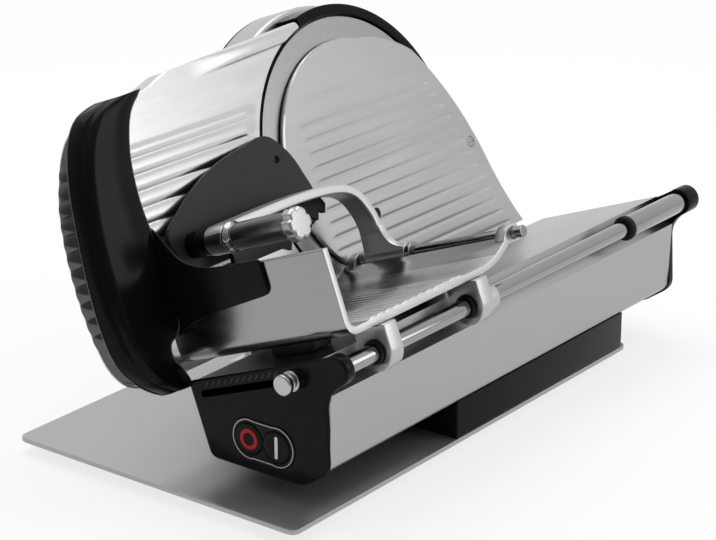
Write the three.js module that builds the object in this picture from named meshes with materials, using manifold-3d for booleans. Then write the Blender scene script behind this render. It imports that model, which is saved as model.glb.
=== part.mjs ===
// Gravity-feed food slicer, in millimetres, +Z up.
// +X is the operator's right, +Y runs away from the operator along the tray's stroke.
// The blade, thickness plate and tray lie in a leaning group whose local axes are:
// X out of the blade plane, Y along the stroke, Z up the blade plane.

import * as THREE from 'three';
import { mergeVertices } from 'three/addons/utils/BufferGeometryUtils.js';
import Module from 'manifold-3d';

const wasm = await Module();
wasm.setup();

// Driving dimensions: general
const TILT = THREE.MathUtils.degToRad(20.8);
const SEAT_GAP = 0.3;
const SLIDE_GAP = 0.06;
const ROUND_STEPS = 28;
const CURVE_STEPS = 5;
const FINE_STEPS = 20;
const CUT_MARGIN = 10;

// Driving dimensions: base
const FOOT_HEIGHT = 10;
const FOOT_RADIUS = 15;
const FOOT_INSET = 46;
const FOOT_EDGE = 1;
const PLATE_WIDTH = 292;
const PLATE_LENGTH = 480;
const PLATE_THICKNESS = 4;
const PLATE_CORNER = 9;
const PEDESTAL_FRONT = -27;
const PEDESTAL_LENGTH = 257;
const PEDESTAL_WIDTH = 96;

// Driving dimensions: body, measured from the plate's underside
const BODY_FRONT = -198;
const BODY_LENGTH = 504;
const BODY_WALL = 4;
const BODY_BOTTOM = 21;
const BODY_TOP = 73.5;
const BODY_SIDE = 26;
const BODY_ROUND = 9;
const ROD_OVERHANG = 6;
const BODY_WAIST_INSET = 3;
const BODY_WAIST_HEIGHT = 88;
const BODY_LIP_STEP = 0.06;
const BODY_SIDE_FOOT = 33;
const CHAMFER_WIDTH = 26;
const CHAMFER_HEIGHT = 19;
const COVE_RADIUS = 22;
const COVE_LIP = THREE.MathUtils.degToRad(-102);
const CAP_THICKNESS = 9;
const FRONT_FLANGE = 2.2;
const FRONT_PLUG = 8;
const CAP_LIP = 1.5;
const CAP_NECK = 14;

// Driving dimensions: guide rod
const ROD_OUT = 177;
const ROD_UP = 64.5;
const ROD_RADIUS = 7;
const BOSS_RADIUS = 12;
const BOSS_LENGTH = 10.5;
const BOSS_LOW = THREE.MathUtils.degToRad(-62);
const BOSS_HIGH = THREE.MathUtils.degToRad(112);
const SLEEVE_RADIUS = 9.5;
const SLEEVE_LENGTH = 88;
const BUMPER_LENGTH = 6;
const BUMPER_RADIUS = 11;
const GLAND_FLANGE = 9;
const GLAND_RADIUS = 6;
const GLAND_BORE = 3.6;
const GLAND_LENGTH = 12;
const GLAND_FLANGE_LENGTH = 3;

// Driving dimensions: controls
const SWITCH_X = 84.5;
const SWITCH_Z = 46.5;
const SWITCH_SPACING = 27.5;
const SWITCH_LOBE = 18;
const SWITCH_WAIST = 15.5;
const SWITCH_RECESS = 3;
const SWITCH_PROUD = 1;
const BUTTON_RADIUS = 13;
const BUTTON_PROUD = 0.7;
const BUTTON_TRAVEL = 1.5;
const BUTTON_EDGE = 0.6;
const KNOB_OUT = 133.5;
const KNOB_BELOW_TOP = 10.5;
const KNOB_TRAVEL = 88;
const SLOT_SPARE = 8;
const KNOB_STEM = 2.7;
const KNOB_RADIUS = 8.6;
const KNOB_LENGTH = 14;
const KNOB_NECK = 5.2;
const KNOB_HEAD = 6;
const KNOB_FLANGE = 3;
const KNOB_EDGE = 1;
const KNOB_TAPER = 1;
const SLIDER_WIDTH = 15;
const SLIDER_HEIGHT = 9;
const SLIDER_DEPTH = 10;
const SLIDER_ROOM = 0.5;

// Driving dimensions: blade and its drive
const BLADE_X = 11.5;
const BLADE_ALONG = 108;
const BLADE_UP = 190;
const BLADE_RADIUS = 125;
const BLADE_THICKNESS = 3;
const BLADE_BEVEL = 14;
const BLADE_BORE = 22;
const EDGE_BACK = 0.7;
const EDGE_FRONT = 0.3;
const HUB_RADIUS = 34;
const HUB_THICKNESS = 5;
const SHAFT_RADIUS = 10;
const SHAFT_SUNK = 0.5;
const BEARING_RADIUS = 20;
const BEARING_LENGTH = 12;
const BOSS_WALL = 8;
const BLADE_PULLEY_RADIUS = 45;
const MOTOR_PULLEY_RADIUS = 14;
const PULLEY_WIDTH = 12;
const PULLEY_SETBACK = 4;
const BELT_WIDTH = 9;
const BELT_THICKNESS = 3;
const MOTOR_BEYOND = 88;
const MOTOR_BELOW = 78;
const MOTOR_RADIUS = 40;
const MOTOR_LENGTH = 62;
const MOTOR_SHAFT = 5;
const MOTOR_EDGE = 5;
const RING_GAP = 2;
const RING_WALL = 7.5;
const RING_INSIDE = BLADE_RADIUS + RING_GAP;
const RING_OUTSIDE = RING_INSIDE + RING_WALL;
const RING_START = THREE.MathUtils.degToRad(104);
const RING_END = THREE.MathUtils.degToRad(-42);
const HOUSING_MARGIN = 6.5;
const HOUSING_RADIUS = RING_OUTSIDE + HOUSING_MARGIN;
const HOUSING_SHOULDER = THREE.MathUtils.degToRad(36);
const HOUSING_FRONT = -26;
const HOUSING_DEPTH = 34;
const HOUSING_WALL = 3;
const HOUSING_BOTTOM = BLADE_UP - 128;
const STAND_FRONT = BLADE_ALONG - 48;
const STAND_LENGTH = 190;

// Driving dimensions: blade cover
const BLADE_SHOWN = 20;
const COVER_RADIUS = BLADE_RADIUS - BLADE_SHOWN;
const COVER_HEAD = THREE.MathUtils.degToRad(72);
const COVER_FOOT = THREE.MathUtils.degToRad(246);
const COVER_GAP = 1.5;
const COVER_THICKNESS = 2.8;
const COVER_FALL = 114;
const COVER_BOTTOM = BLADE_UP - COVER_FALL;
const COVER_REACH = 202;
const COVER_END = BLADE_ALONG + COVER_REACH;
const COVER_TOE = 21;
const WING_FALL = 53;
const WING_UP = BLADE_UP - WING_FALL;
const GROOVE_PITCH = 12.5;
const GROOVE_COUNT = 11;
const GROOVE_TOP = BLADE_UP + 41;
const GROOVE_WIDTH = 2.2;
const GROOVE_DEPTH = 0.7;
const GROOVE_START = BLADE_ALONG - 70;
const GROOVE_MARGIN = 20;
const GROOVE_SLANT = 0.34;
const POST_RADIUS = 6;
const SCREW_RADIUS = 5;
const SCREW_ALONG = BLADE_ALONG + 152;
const SCREW_UP = BLADE_UP - 25;
const LOW_POST_ALONG = BLADE_ALONG + 176;
const LOW_POST_UP = BLADE_UP - 106;

// Driving dimensions: thickness plate
const GAUGE_LEFT = -252;
const GAUGE_BELOW_RING = 1;
const GAUGE_TOP = BLADE_UP + BLADE_RADIUS - GAUGE_BELOW_RING;
const GAUGE_BOTTOM = BLADE_UP - 112;
const GAUGE_SHOULDER = 146;
const GAUGE_SHOULDER_DROP = 3;
const GAUGE_BROW = 120;
const GAUGE_BROW_DROP = 10;
const GAUGE_SLOPE = 80;
const GAUGE_SLOPE_DROP = 14;
const GAUGE_CORNER = 40;
const GAUGE_CORNER_DROP = 18;
const GAUGE_CHEEK = 25;
const GAUGE_CHEEK_DROP = 44;
const GAUGE_FLANK = 2;
const GAUGE_FLANK_DROP = 88;
const GAUGE_FLANK_RISE = 60;
const GAUGE_HIP = 4;
const GAUGE_HIP_RISE = 34;
const GAUGE_TOE = 10;
const GAUGE_HEEL = 36;
const GAUGE_SIDE = BLADE_ALONG - 45;
const GAUGE_THICKNESS = 6;
const GAUGE_RIM = 12;
const GAUGE_RIM_WALL = 7;
const GAUGE_BLADE_GAP = 4;
const RIB_PITCH = 13.3;
const RIB_COUNT = 11;
const RIB_TOP = BLADE_UP + 76;
const RIB_HEIGHT = 1.3;
const TOP_BAR_HEIGHT = 13;
const TOP_BAR_PROUD = 2.5;
const TOP_BAR_INSET = 4;
const TOP_BAR_START = GAUGE_LEFT + GAUGE_SHOULDER + TOP_BAR_INSET;
const TOP_BAR_BACK = 3;
const TOP_BAR_ROUND = 3;
const GAUGE_TRAVEL = 16;
const BRACKET_FRONT = -92;
const BRACKET_LENGTH = 55;
const BRACKET_BASE = 52;
const BRACKET_BASE_HEIGHT = 12;
const BRACKET_REACH = 30;
const BRACKET_WALL = 8;
const BRACKET_TOP = 150;
const RAIL_MARGIN = 8;
const PUSH_ROD_RADIUS = 4;
const PUSH_ROD_LENGTH = 68;
const PUSH_ROD_ROOM = 1;

// Driving dimensions: carriage
const TRAY_FRONT = -185;
const TRAY_LENGTH = 207;
const TRAY_INNER = 8;
const TRAY_WIDTH = 179;
const TRAY_FLOOR = 91;
const TRAY_SHEET = 6;
const TRAY_WALL_TOP = 155;
const TRAY_BEND = 14;
const BACK_LIP_HEIGHT = 14.5;
const BACK_LIP_START = 14;
const BACK_LIP_REACH = 16;
const BACK_LIP_BEND = 30;
const RIM_ROUND = 2;
const BLOCK_LENGTH = 16;
const BLOCK_RADIUS = 16;
const FRONT_BLOCK_INSET = 35;
const FRONT_BLOCK = TRAY_FRONT + FRONT_BLOCK_INSET;
const REAR_BLOCK_INSET = 157;
const REAR_BLOCK = TRAY_FRONT + REAR_BLOCK_INSET;
const BARREL_RADIUS = 12.5;
const BARREL_LENGTH = 14;
const BUSH_WALL = 1.8;
const BUSH_FLANGE = 10;
const BUSH_FLANGE_LENGTH = 2.5;
const SHOE_OUT = 80;
const SHOE_WIDTH = 44;
const SHOE_LENGTH = 23;
const FRONT_SHOE_INSET = 27;
const FRONT_SHOE = TRAY_FRONT + FRONT_SHOE_INSET;
const REAR_SHOE_INSET = 177;
const REAR_SHOE = TRAY_FRONT + REAR_SHOE_INSET;

// Driving dimensions: hand guard
const GUARD_NEAR = 4;
const GUARD_FAR = 22;
const GUARD_SHEET = 3;
const GUARD_TONGUE = 124;
const GUARD_INSET = 1.2;
const GUARD_BELOW_GAUGE = 8;
const GUARD_TOP = GAUGE_TOP - GUARD_BELOW_GAUGE;
const GUARD_HEAD = 32;
const GUARD_CREST = 1;
const GUARD_CREST_DROP = 3;
const GUARD_BROW = 39;
const GUARD_BROW_DROP = 6;
const GUARD_SHOULDER = 46;
const GUARD_SHOULDER_DROP = 48;
const GUARD_BELLY = 70;
const GUARD_BELLY_DROP = 110;
const GUARD_HIP = 84;
const GUARD_HIP_RISE = 27;
const GUARD_HEEL = 43;
const GUARD_HEEL_FALL = 12;
const GUARD_SOLE = 38;
const GUARD_FOOT = 31;
const GUARD_FOOT_FALL = 21;
const GUARD_TOE = 9;
const GUARD_INSTEP = 5;
const GUARD_SWEEP = 11;
const GUARD_SWEEP_DROP = 74;
const GUARD_LIFT = 7;
const GUARD_LIFT_DROP = 34;
const TONGUE_NECK = 60;
const TONGUE_CREST = 34;
const TONGUE_LOW = 21;
const TONGUE_FALL = 30;
const TONGUE_END = 37;
const TONGUE_ROUND = 8;
const TONGUE_RISE = 9;
const TONGUE_REACH = 45;

// Driving dimensions: pusher
const PUSHER_ROD_BEHIND = 24;
const PUSHER_ROD_ALONG = TRAY_FRONT + TRAY_LENGTH + PUSHER_ROD_BEHIND;
const PUSHER_ROD_RISE = 14;
const PUSHER_ROD_UP = TRAY_FLOOR + PUSHER_ROD_RISE;
const PUSHER_ROD_RADIUS = 5;
const PUSHER_ROD_START = 12;
const PUSHER_ROD_LENGTH = 185;
const HOLDER_WIDTH = 10;
const HOLDER_RADIUS = 8;
const HOLDER_ROUND = 6;
const HOLDER_INSET = 4;
const SLEEVE_WALL = 2;
const PUSHER_SLEEVE_START = 24;
const PUSHER_SLEEVE_LENGTH = 56;
const PUSHER_SLEEVE_FLANGE = 5;
const HUB_TUBE_RADIUS = 9;
const ARM_START = 32;
const ARM_WIDTH = 22;
const GUSSET_RISE = 30;
const GUSSET_HALF = 4;
const GUSSET_WAIST = 14;
const GUSSET_SHELF = 8;
const ARM_THICKNESS = 8;
const HANDLE_ALONG = TRAY_FRONT + 49;
const HANDLE_UP = TRAY_FLOOR + 80.5;
const HANDLE_RADIUS = 11;
const HANDLE_STUD = 6;
const HANDLE_EYE = 12;
const COLLAR_RADIUS = 13.5;
const COLLAR_LENGTH = 8;
const COLLAR_RIM = 2;
const GRIP_LENGTH = 56;
const STAR_RADIUS = 13.5;
const STAR_LOBES = 6;
const STAR_LOBE_DEPTH = 1.6;
const STAR_LENGTH = 11;
const STAR_PIN = 4;
const STAR_PIN_LENGTH = 12;
const STAR_POINTS = 36;
const PUSHER_PLATE_START = 6.5;
const PUSHER_PLATE_THICKNESS = 4;
const SPIKE_PLATE_THICKNESS = 5;
const TOOTH_COUNT = 6;
const TOOTH_HEIGHT = 6;

// Pusher outlines as [along, up, rounding], measured from the handle's axis
const PUSHER_PLATE_CORNERS = [[-30, 14.5, 14], [36, 54.5, 40], [121, 66.5, 14], [144, 42.5, 12], [160, 4.5, 8],
  [150, -21.5, 6], [-10, -21.5, 10]];
const SPIKE_TOP_LEFT = [18, 8.5];
const SPIKE_LOW_LEFT = [18, -27.5];
const TEETH_FROM = [80, -27.5];
const TEETH_TO = [144, -5.5];
const SPIKE_TOP_RIGHT = [138, 4.5];

// The arm's middle line as [along, up], measured from the pusher's rod
const ARM_RISE = [[0, 0], [-3, 21], [-8, 43], [-22, 63], [-48, 72]];
const ARM_SHOULDER = 82;

// Materials
const finish = (color, roughness, metalness) => new THREE.MeshStandardMaterial({ color, roughness, metalness });
const steel = finish(0xb9bbbd, 0.35, 1);
const chrome = finish(0xe4e6e8, 0.08, 1);
const aluminium = finish(0xc9cbcd, 0.3, 1);
const brightAluminium = finish(0xd8dadb, 0.22, 1);
const glossBlack = finish(0x0b0b0c, 0.12, 0);
const mattBlack = finish(0x17181a, 0.5, 0);
const darkGrey = finish(0x3b3d40, 0.4, 0);
const rubber = finish(0x121212, 0.8, 0);

// Turns a point of the leaning group into level x and z, measured from the plate's underside.
function level(out, up) {
  const x = BLADE_X + out * Math.cos(TILT) - up * Math.sin(TILT);
  const z = out * Math.sin(TILT) + up * Math.cos(TILT);
  return new THREE.Vector2(x, z);
}

// Merges shared corners, drops triangles without area and turns all faces outward.
function closed(geometry) {
  const bare = new THREE.BufferGeometry();
  bare.setAttribute('position', geometry.getAttribute('position').clone());
  bare.setIndex(geometry.getIndex());
  const merged = mergeVertices(bare, 1e-4);
  const position = merged.getAttribute('position');
  const old = merged.getIndex().array;
  const kept = [];
  const a = new THREE.Vector3();
  const b = new THREE.Vector3();
  const c = new THREE.Vector3();
  let volume = 0;
  for (let i = 0; i < old.length; i += 3) {
    const [p, q, r] = [old[i], old[i + 1], old[i + 2]];
    if (p === q || q === r || r === p) continue;
    kept.push(p, q, r);
    a.fromBufferAttribute(position, p);
    b.fromBufferAttribute(position, q);
    c.fromBufferAttribute(position, r);
    volume += a.dot(b.cross(c));
  }
  if (volume < 0) {
    kept.reverse();
  }
  merged.setIndex(kept);
  return merged;
}

function solid(geometry) {
  const shape = closed(geometry);
  const vertProperties = Float32Array.from(shape.getAttribute('position').array);
  const triVerts = Uint32Array.from(shape.getIndex().array);
  return new wasm.Manifold(new wasm.Mesh({ numProp: 3, vertProperties, triVerts }));
}

function surface(manifold) {
  const mesh = manifold.getMesh();
  const geometry = new THREE.BufferGeometry();
  geometry.setAttribute('position', new THREE.BufferAttribute(mesh.vertProperties, 3));
  geometry.setIndex(new THREE.BufferAttribute(mesh.triVerts, 1));
  return geometry;
}

const join = (...pieces) => surface(pieces.map(solid).reduce((whole, piece) => whole.add(piece)));
const cut = (piece, ...tools) =>
  surface(tools.map(solid).reduce((left, tool) => left.subtract(tool), solid(piece)));
const common = (piece, other) => surface(solid(piece).intersect(solid(other)));

function mesh(parent, name, geometry, material) {
  const shape = closed(geometry);
  shape.computeVertexNormals();
  const piece = new THREE.Mesh(shape, material);
  piece.name = name;
  parent.add(piece);
  return piece;
}

const prism = (shape, depth, steps = CURVE_STEPS) =>
  new THREE.ExtrudeGeometry(shape, { depth, bevelEnabled: false, curveSegments: steps });

// A slab: a shape drawn in the Y and Z directions, thick along X.
function slab(shape, from, to, steps) {
  const turn = new THREE.Matrix4().set(0, 0, 1, from, 1, 0, 0, 0, 0, 1, 0, 0, 0, 0, 0, 1);
  return prism(shape, to - from, steps).applyMatrix4(turn);
}

// A bar: a shape drawn in the X and Z directions, long along Y.
function bar(shape, from, to, steps) {
  const turn = new THREE.Matrix4().set(1, 0, 0, 0, 0, 0, -1, to, 0, 1, 0, 0, 0, 0, 0, 1);
  return prism(shape, to - from, steps).applyMatrix4(turn);
}

// Turned pieces: a profile of [radius, height] pairs about an axis along X, Y or Z.
const profilePoints = (pairs) => pairs.map(([radius, height]) => new THREE.Vector2(radius, height));
const turnedY = (pairs, steps = ROUND_STEPS) => new THREE.LatheGeometry(profilePoints(pairs), steps);
const turnedX = (pairs, steps = ROUND_STEPS) => turnedY(pairs, steps).rotateZ(-Math.PI / 2);
const turnedZ = (pairs, steps = ROUND_STEPS) => turnedY(pairs, steps).rotateX(Math.PI / 2);
const rodProfile = (radius, from, to) => [[0, from], [radius, from], [radius, to], [0, to]];
const tubeProfile = (inside, outside, from, to) => {
  const ring = [[inside, from], [outside, from], [outside, to], [inside, to]];
  return [...ring, ring[0]];
};

// A closed outline through corners [x, y, radius], each corner rounded by a smooth curve.
function outline(corners) {
  const points = corners.map(([x, y]) => new THREE.Vector2(x, y));
  const shape = new THREE.Shape();
  corners.forEach(([, , radius = 0], i) => {
    const here = points[i];
    const before = points[(i + points.length - 1) % points.length];
    const after = points[(i + 1) % points.length];
    const start = here.clone().add(before.clone().sub(here).setLength(radius));
    const end = here.clone().add(after.clone().sub(here).setLength(radius));
    if (i === 0) {
      shape.moveTo(start.x, start.y);
    } else {
      shape.lineTo(start.x, start.y);
    }
    if (radius > 0) shape.quadraticCurveTo(here.x, here.y, end.x, end.y);
  });
  shape.closePath();
  return shape;
}

const rectangle = (x0, y0, x1, y1, radius = 0) =>
  outline([[x0, y0, radius], [x1, y0, radius], [x1, y1, radius], [x0, y1, radius]]);

// A slot with round ends between two points.
function slotShape(from, to, radius) {
  const angle = Math.atan2(to.y - from.y, to.x - from.x);
  const shape = new THREE.Shape();
  shape.absarc(to.x, to.y, radius, angle - Math.PI / 2, angle + Math.PI / 2, false);
  shape.absarc(from.x, from.y, radius, angle + Math.PI / 2, angle + 1.5 * Math.PI, false);
  shape.closePath();
  return shape;
}

// A band of even width along a smooth curve through points [x, y].
function band(points, width, steps) {
  const curve = new THREE.SplineCurve(points.map(([x, y]) => new THREE.Vector2(x, y)));
  const spots = curve.getPoints(steps);
  const side = (sign) => spots.map((spot, i) => {
    const along = curve.getTangent(i / steps);
    return new THREE.Vector2(spot.x - along.y * sign * width / 2, spot.y + along.x * sign * width / 2);
  });
  return new THREE.Shape([...side(-1), ...side(1).reverse()]);
}

// The outline of a belt round two wheels.
function wheelPair(from, fromRadius, to, toRadius) {
  const line = to.clone().sub(from);
  const heading = line.angle();
  const lean = Math.acos((fromRadius - toRadius) / line.length());
  const shape = new THREE.Shape();
  shape.absarc(from.x, from.y, fromRadius, heading + lean, heading - lean + 2 * Math.PI, false);
  shape.absarc(to.x, to.y, toRadius, heading - lean, heading + lean, false);
  shape.closePath();
  return shape;
}

// Groups: everything stands on the feet, and the leaning group starts at the blade plane's foot.
const slicer = new THREE.Group();
const base = new THREE.Group();
const leaning = new THREE.Group();
slicer.add(base);
base.add(leaning);
base.position.z = FOOT_HEIGHT;
leaning.position.x = BLADE_X;
leaning.rotation.y = -TILT;

// Base plate, feet and pedestal
const halfWidth = PLATE_WIDTH / 2;
const halfLength = PLATE_LENGTH / 2;
mesh(base, 'base_plate', prism(rectangle(-halfWidth, -halfLength, halfWidth, halfLength, PLATE_CORNER),
  PLATE_THICKNESS), steel);

const footProfile = [[0, -FOOT_HEIGHT], [FOOT_RADIUS - FOOT_EDGE, -FOOT_HEIGHT],
  [FOOT_RADIUS, -FOOT_HEIGHT + FOOT_EDGE], [FOOT_RADIUS, -SEAT_GAP], [0, -SEAT_GAP]];
for (const [end, y] of [['front', -halfLength + FOOT_INSET], ['rear', halfLength - FOOT_INSET]]) {
  for (const [side, x] of [['left', -halfWidth + FOOT_INSET], ['right', halfWidth - FOOT_INSET]]) {
    mesh(base, `foot_${end}_${side}`, turnedZ(footProfile, FINE_STEPS), rubber).position.set(x, y, 0);
  }
}

const rod = level(ROD_OUT, ROD_UP);
const bodyRight = rod.x - ROD_OVERHANG;
const chamferSlope = CHAMFER_HEIGHT / CHAMFER_WIDTH;
const chamferStart = bodyRight - CHAMFER_WIDTH;
const pedestalFloor = PLATE_THICKNESS + SEAT_GAP;
const pedestalTop = BODY_BOTTOM - SEAT_GAP;
const pedestalRight = halfWidth;
const pedestalShoulder = pedestalTop - SEAT_GAP / 2 + (pedestalRight - chamferStart) * chamferSlope;
const pedestalLeft = pedestalRight - PEDESTAL_WIDTH;
const pedestalShape = outline([[pedestalLeft, pedestalFloor], [pedestalRight, pedestalFloor],
  [pedestalRight, pedestalShoulder], [chamferStart, pedestalTop], [pedestalLeft, pedestalTop]]);
mesh(base, 'pedestal', bar(pedestalShape, PEDESTAL_FRONT, PEDESTAL_FRONT + PEDESTAL_LENGTH), mattBlack);

// Body: a hollow extrusion whose upper right corner is a cove round the guide rod
const bodyRear = BODY_FRONT + BODY_LENGTH;
// How far up the blade plane a level height lies at a distance out from it
const upAt = (out, height) => (height - out * Math.sin(TILT)) / Math.cos(TILT);

function bodyShape(inset) {
  const shape = new THREE.Shape();
  const radius = COVE_RADIUS + inset;
  const top = BODY_TOP - inset;
  const drop = Math.asin((top - ROD_UP) / radius);
  const lip = COVE_LIP - inset * BODY_LIP_STEP;
  const tip = level(BODY_SIDE + inset, top);
  const sideFoot = level(BODY_SIDE + inset, upAt(BODY_SIDE + inset, BODY_SIDE_FOOT));
  shape.moveTo(tip.x, tip.y);
  shape.lineTo(sideFoot.x, sideFoot.y);
  shape.quadraticCurveTo(sideFoot.x + inset, BODY_BOTTOM + inset, sideFoot.x + BODY_ROUND, BODY_BOTTOM + inset);
  shape.lineTo(chamferStart - inset / 3, BODY_BOTTOM + inset);
  shape.lineTo(bodyRight - inset, BODY_BOTTOM + CHAMFER_HEIGHT + inset / 2);
  shape.lineTo(bodyRight - BODY_WAIST_INSET - inset, BODY_WAIST_HEIGHT);
  shape.absarc(rod.x, rod.y, radius, lip, -Math.PI - drop + TILT, true);
  shape.closePath();
  return shape;
}

const pushRodUp = BRACKET_BASE + SEAT_GAP + BRACKET_BASE_HEIGHT / 2;
const pushRodAlong = BRACKET_FRONT + BRACKET_LENGTH / 2;
const pushRodHoleProfile = rodProfile(PUSH_ROD_RADIUS + PUSH_ROD_ROOM, BODY_SIDE - BODY_WALL,
  BODY_SIDE + 3 * BODY_WALL);
const pushRodHole = turnedX(pushRodHoleProfile, FINE_STEPS)
  .translate(0, pushRodAlong, pushRodUp)
  .rotateY(-TILT)
  .translate(BLADE_X, 0, 0);
const bodyHollow = bodyShape(0);
bodyHollow.holes.push(bodyShape(BODY_WALL));
mesh(base, 'body', cut(bar(bodyHollow, BODY_FRONT, bodyRear), pushRodHole), aluminium);

// End caps with the rod's bosses, the switch recess and the thickness slot
function capShape() {
  const shape = new THREE.Shape();
  const tip = level(BODY_SIDE - CAP_LIP, BODY_TOP + CAP_LIP);
  const sideFoot = level(BODY_SIDE - CAP_LIP, upAt(BODY_SIDE, BODY_SIDE_FOOT));
  const shoulder = level(ROD_OUT - COVE_RADIUS, BODY_TOP + CAP_LIP);
  const waistX = bodyRight - BODY_WAIST_INSET + CAP_LIP;
  shape.moveTo(tip.x, tip.y);
  shape.lineTo(sideFoot.x, sideFoot.y);
  shape.quadraticCurveTo(sideFoot.x, BODY_BOTTOM - CAP_LIP, sideFoot.x + BODY_ROUND, BODY_BOTTOM - CAP_LIP);
  shape.lineTo(chamferStart, BODY_BOTTOM - CAP_LIP);
  shape.lineTo(bodyRight + CAP_LIP, BODY_BOTTOM + CHAMFER_HEIGHT - CAP_LIP);
  shape.lineTo(waistX, BODY_WAIST_HEIGHT);
  shape.quadraticCurveTo(waistX, BODY_WAIST_HEIGHT + CAP_NECK, rod.x + BOSS_RADIUS * Math.cos(BOSS_LOW),
    rod.y + BOSS_RADIUS * Math.sin(BOSS_LOW));
  shape.absarc(rod.x, rod.y, BOSS_RADIUS, BOSS_LOW, BOSS_HIGH, false);
  shape.lineTo(shoulder.x, shoulder.y);
  shape.closePath();
  return shape;
}

function peanut(lobe, waist) {
  const half = SWITCH_SPACING / 2;
  const spread = Math.acos(waist / lobe);
  const shape = new THREE.Shape();
  shape.absarc(SWITCH_X + half, SWITCH_Z, lobe, -Math.PI / 2 - spread / 2, Math.PI / 2 + spread / 2, false);
  shape.absarc(SWITCH_X - half, SWITCH_Z, lobe, Math.PI / 2 - spread / 2, 1.5 * Math.PI + spread / 2, false);
  shape.closePath();
  return shape;
}

const flangeBack = BODY_FRONT - SEAT_GAP;
const capFront = flangeBack - FRONT_FLANGE;
const capBack = flangeBack + FRONT_PLUG;
const rearCapFront = bodyRear + SEAT_GAP;
const rearCapBack = rearCapFront + CAP_THICKNESS;
const rodHole = (from, to) => turnedY(rodProfile(ROD_RADIUS + SLIDE_GAP, from, to)).translate(rod.x, 0, rod.y);
const boss = (from, to) => turnedY(rodProfile(BOSS_RADIUS, from, to)).translate(rod.x, 0, rod.y);
const rodFront = capFront + BOSS_LENGTH / 2;
const rodBack = rearCapBack + CAP_THICKNESS / 2;
const knobUp = BODY_TOP - KNOB_BELOW_TOP;
const slotFrom = level(KNOB_OUT - KNOB_TRAVEL - SLOT_SPARE, knobUp);
const slotTo = level(KNOB_OUT, knobUp);
const knobSlot = bar(slotShape(slotFrom, slotTo, KNOB_STEM + SEAT_GAP), capFront - 1, capBack + 1);
const switchRecess = bar(peanut(SWITCH_LOBE, SWITCH_WAIST), capFront - 1, capFront + SWITCH_RECESS);
const frontPlug = bar(bodyShape(BODY_WALL + SEAT_GAP), capFront, capBack);
const frontBoss = boss(capFront, capFront + BOSS_LENGTH);
const frontCapSolid = join(bar(capShape(), capFront, flangeBack), frontPlug, frontBoss);
const frontRodHole = rodHole(rodFront, capFront + BOSS_LENGTH + 1);
mesh(base, 'front_cap', cut(frontCapSolid, frontRodHole, knobSlot, switchRecess), glossBlack);
const rearBoss = boss(rearCapFront, rearCapBack + CAP_THICKNESS);
const rearCapSolid = join(bar(capShape(), rearCapFront, rearCapBack), rearBoss);
mesh(base, 'rear_cap', cut(rearCapSolid, rodHole(rearCapFront - 1, rodBack + SEAT_GAP)), glossBlack);

// Guide rod with its rear sleeve and stop ring
const rodPiece = (name, profile, material) =>
  mesh(base, name, turnedY(profile), material).position.set(rod.x, 0, rod.y);
const sleeveEnd = rearCapFront - SEAT_GAP;
const sleeveStart = sleeveEnd - SLEEVE_LENGTH;
const bumperStart = sleeveStart - SEAT_GAP - BUMPER_LENGTH;
const rodBore = ROD_RADIUS + SLIDE_GAP;
rodPiece('guide_rod', rodProfile(ROD_RADIUS, rodFront + SEAT_GAP, rodBack), chrome);
rodPiece('rod_sleeve', tubeProfile(rodBore, SLEEVE_RADIUS, sleeveStart, sleeveEnd), chrome);
rodPiece('rod_bumper', tubeProfile(rodBore, BUMPER_RADIUS, bumperStart, sleeveStart - SEAT_GAP), rubber);

// Cord gland on the rear cap
const glandProfile = [[0, 0], [GLAND_FLANGE, 0], [GLAND_FLANGE, GLAND_FLANGE_LENGTH],
  [GLAND_RADIUS, 2 * GLAND_FLANGE_LENGTH], [GLAND_RADIUS, GLAND_LENGTH], [GLAND_BORE, GLAND_LENGTH],
  [GLAND_BORE, GLAND_FLANGE_LENGTH], [0, GLAND_FLANGE_LENGTH]];
const gland = mesh(base, 'cord_gland', turnedY(glandProfile, FINE_STEPS), mattBlack);
gland.position.set(SWITCH_X, rearCapBack + SEAT_GAP, SWITCH_Z);

// Switch plate and buttons
const buttonHole = rodProfile(BUTTON_RADIUS + SEAT_GAP, capFront - CAP_THICKNESS, capBack);
const buttonHoles = [-1, 1].map((sign) => turnedY(buttonHole)
  .translate(SWITCH_X + sign * SWITCH_SPACING / 2, 0, SWITCH_Z));
const plateBack = capFront + SWITCH_RECESS - SEAT_GAP;
const plateFront = capFront - SWITCH_PROUD;
const switchPlate = bar(peanut(SWITCH_LOBE - SEAT_GAP, SWITCH_WAIST - SEAT_GAP), plateFront, plateBack);
mesh(base, 'switch_plate', cut(switchPlate, ...buttonHoles), darkGrey);
const buttonBack = plateBack - BUTTON_TRAVEL;
const buttonFront = plateFront - BUTTON_PROUD;
const buttonProfile = [[0, buttonFront], [BUTTON_RADIUS - BUTTON_EDGE, buttonFront],
  [BUTTON_RADIUS, buttonFront + BUTTON_EDGE], [BUTTON_RADIUS, buttonBack], [0, buttonBack]];
[['off_button', -1], ['on_button', 1]].forEach(([name, sign]) => {
  const x = SWITCH_X + sign * SWITCH_SPACING / 2;
  mesh(base, name, turnedY(buttonProfile), mattBlack).position.set(x, 0, SWITCH_Z);
});

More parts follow.
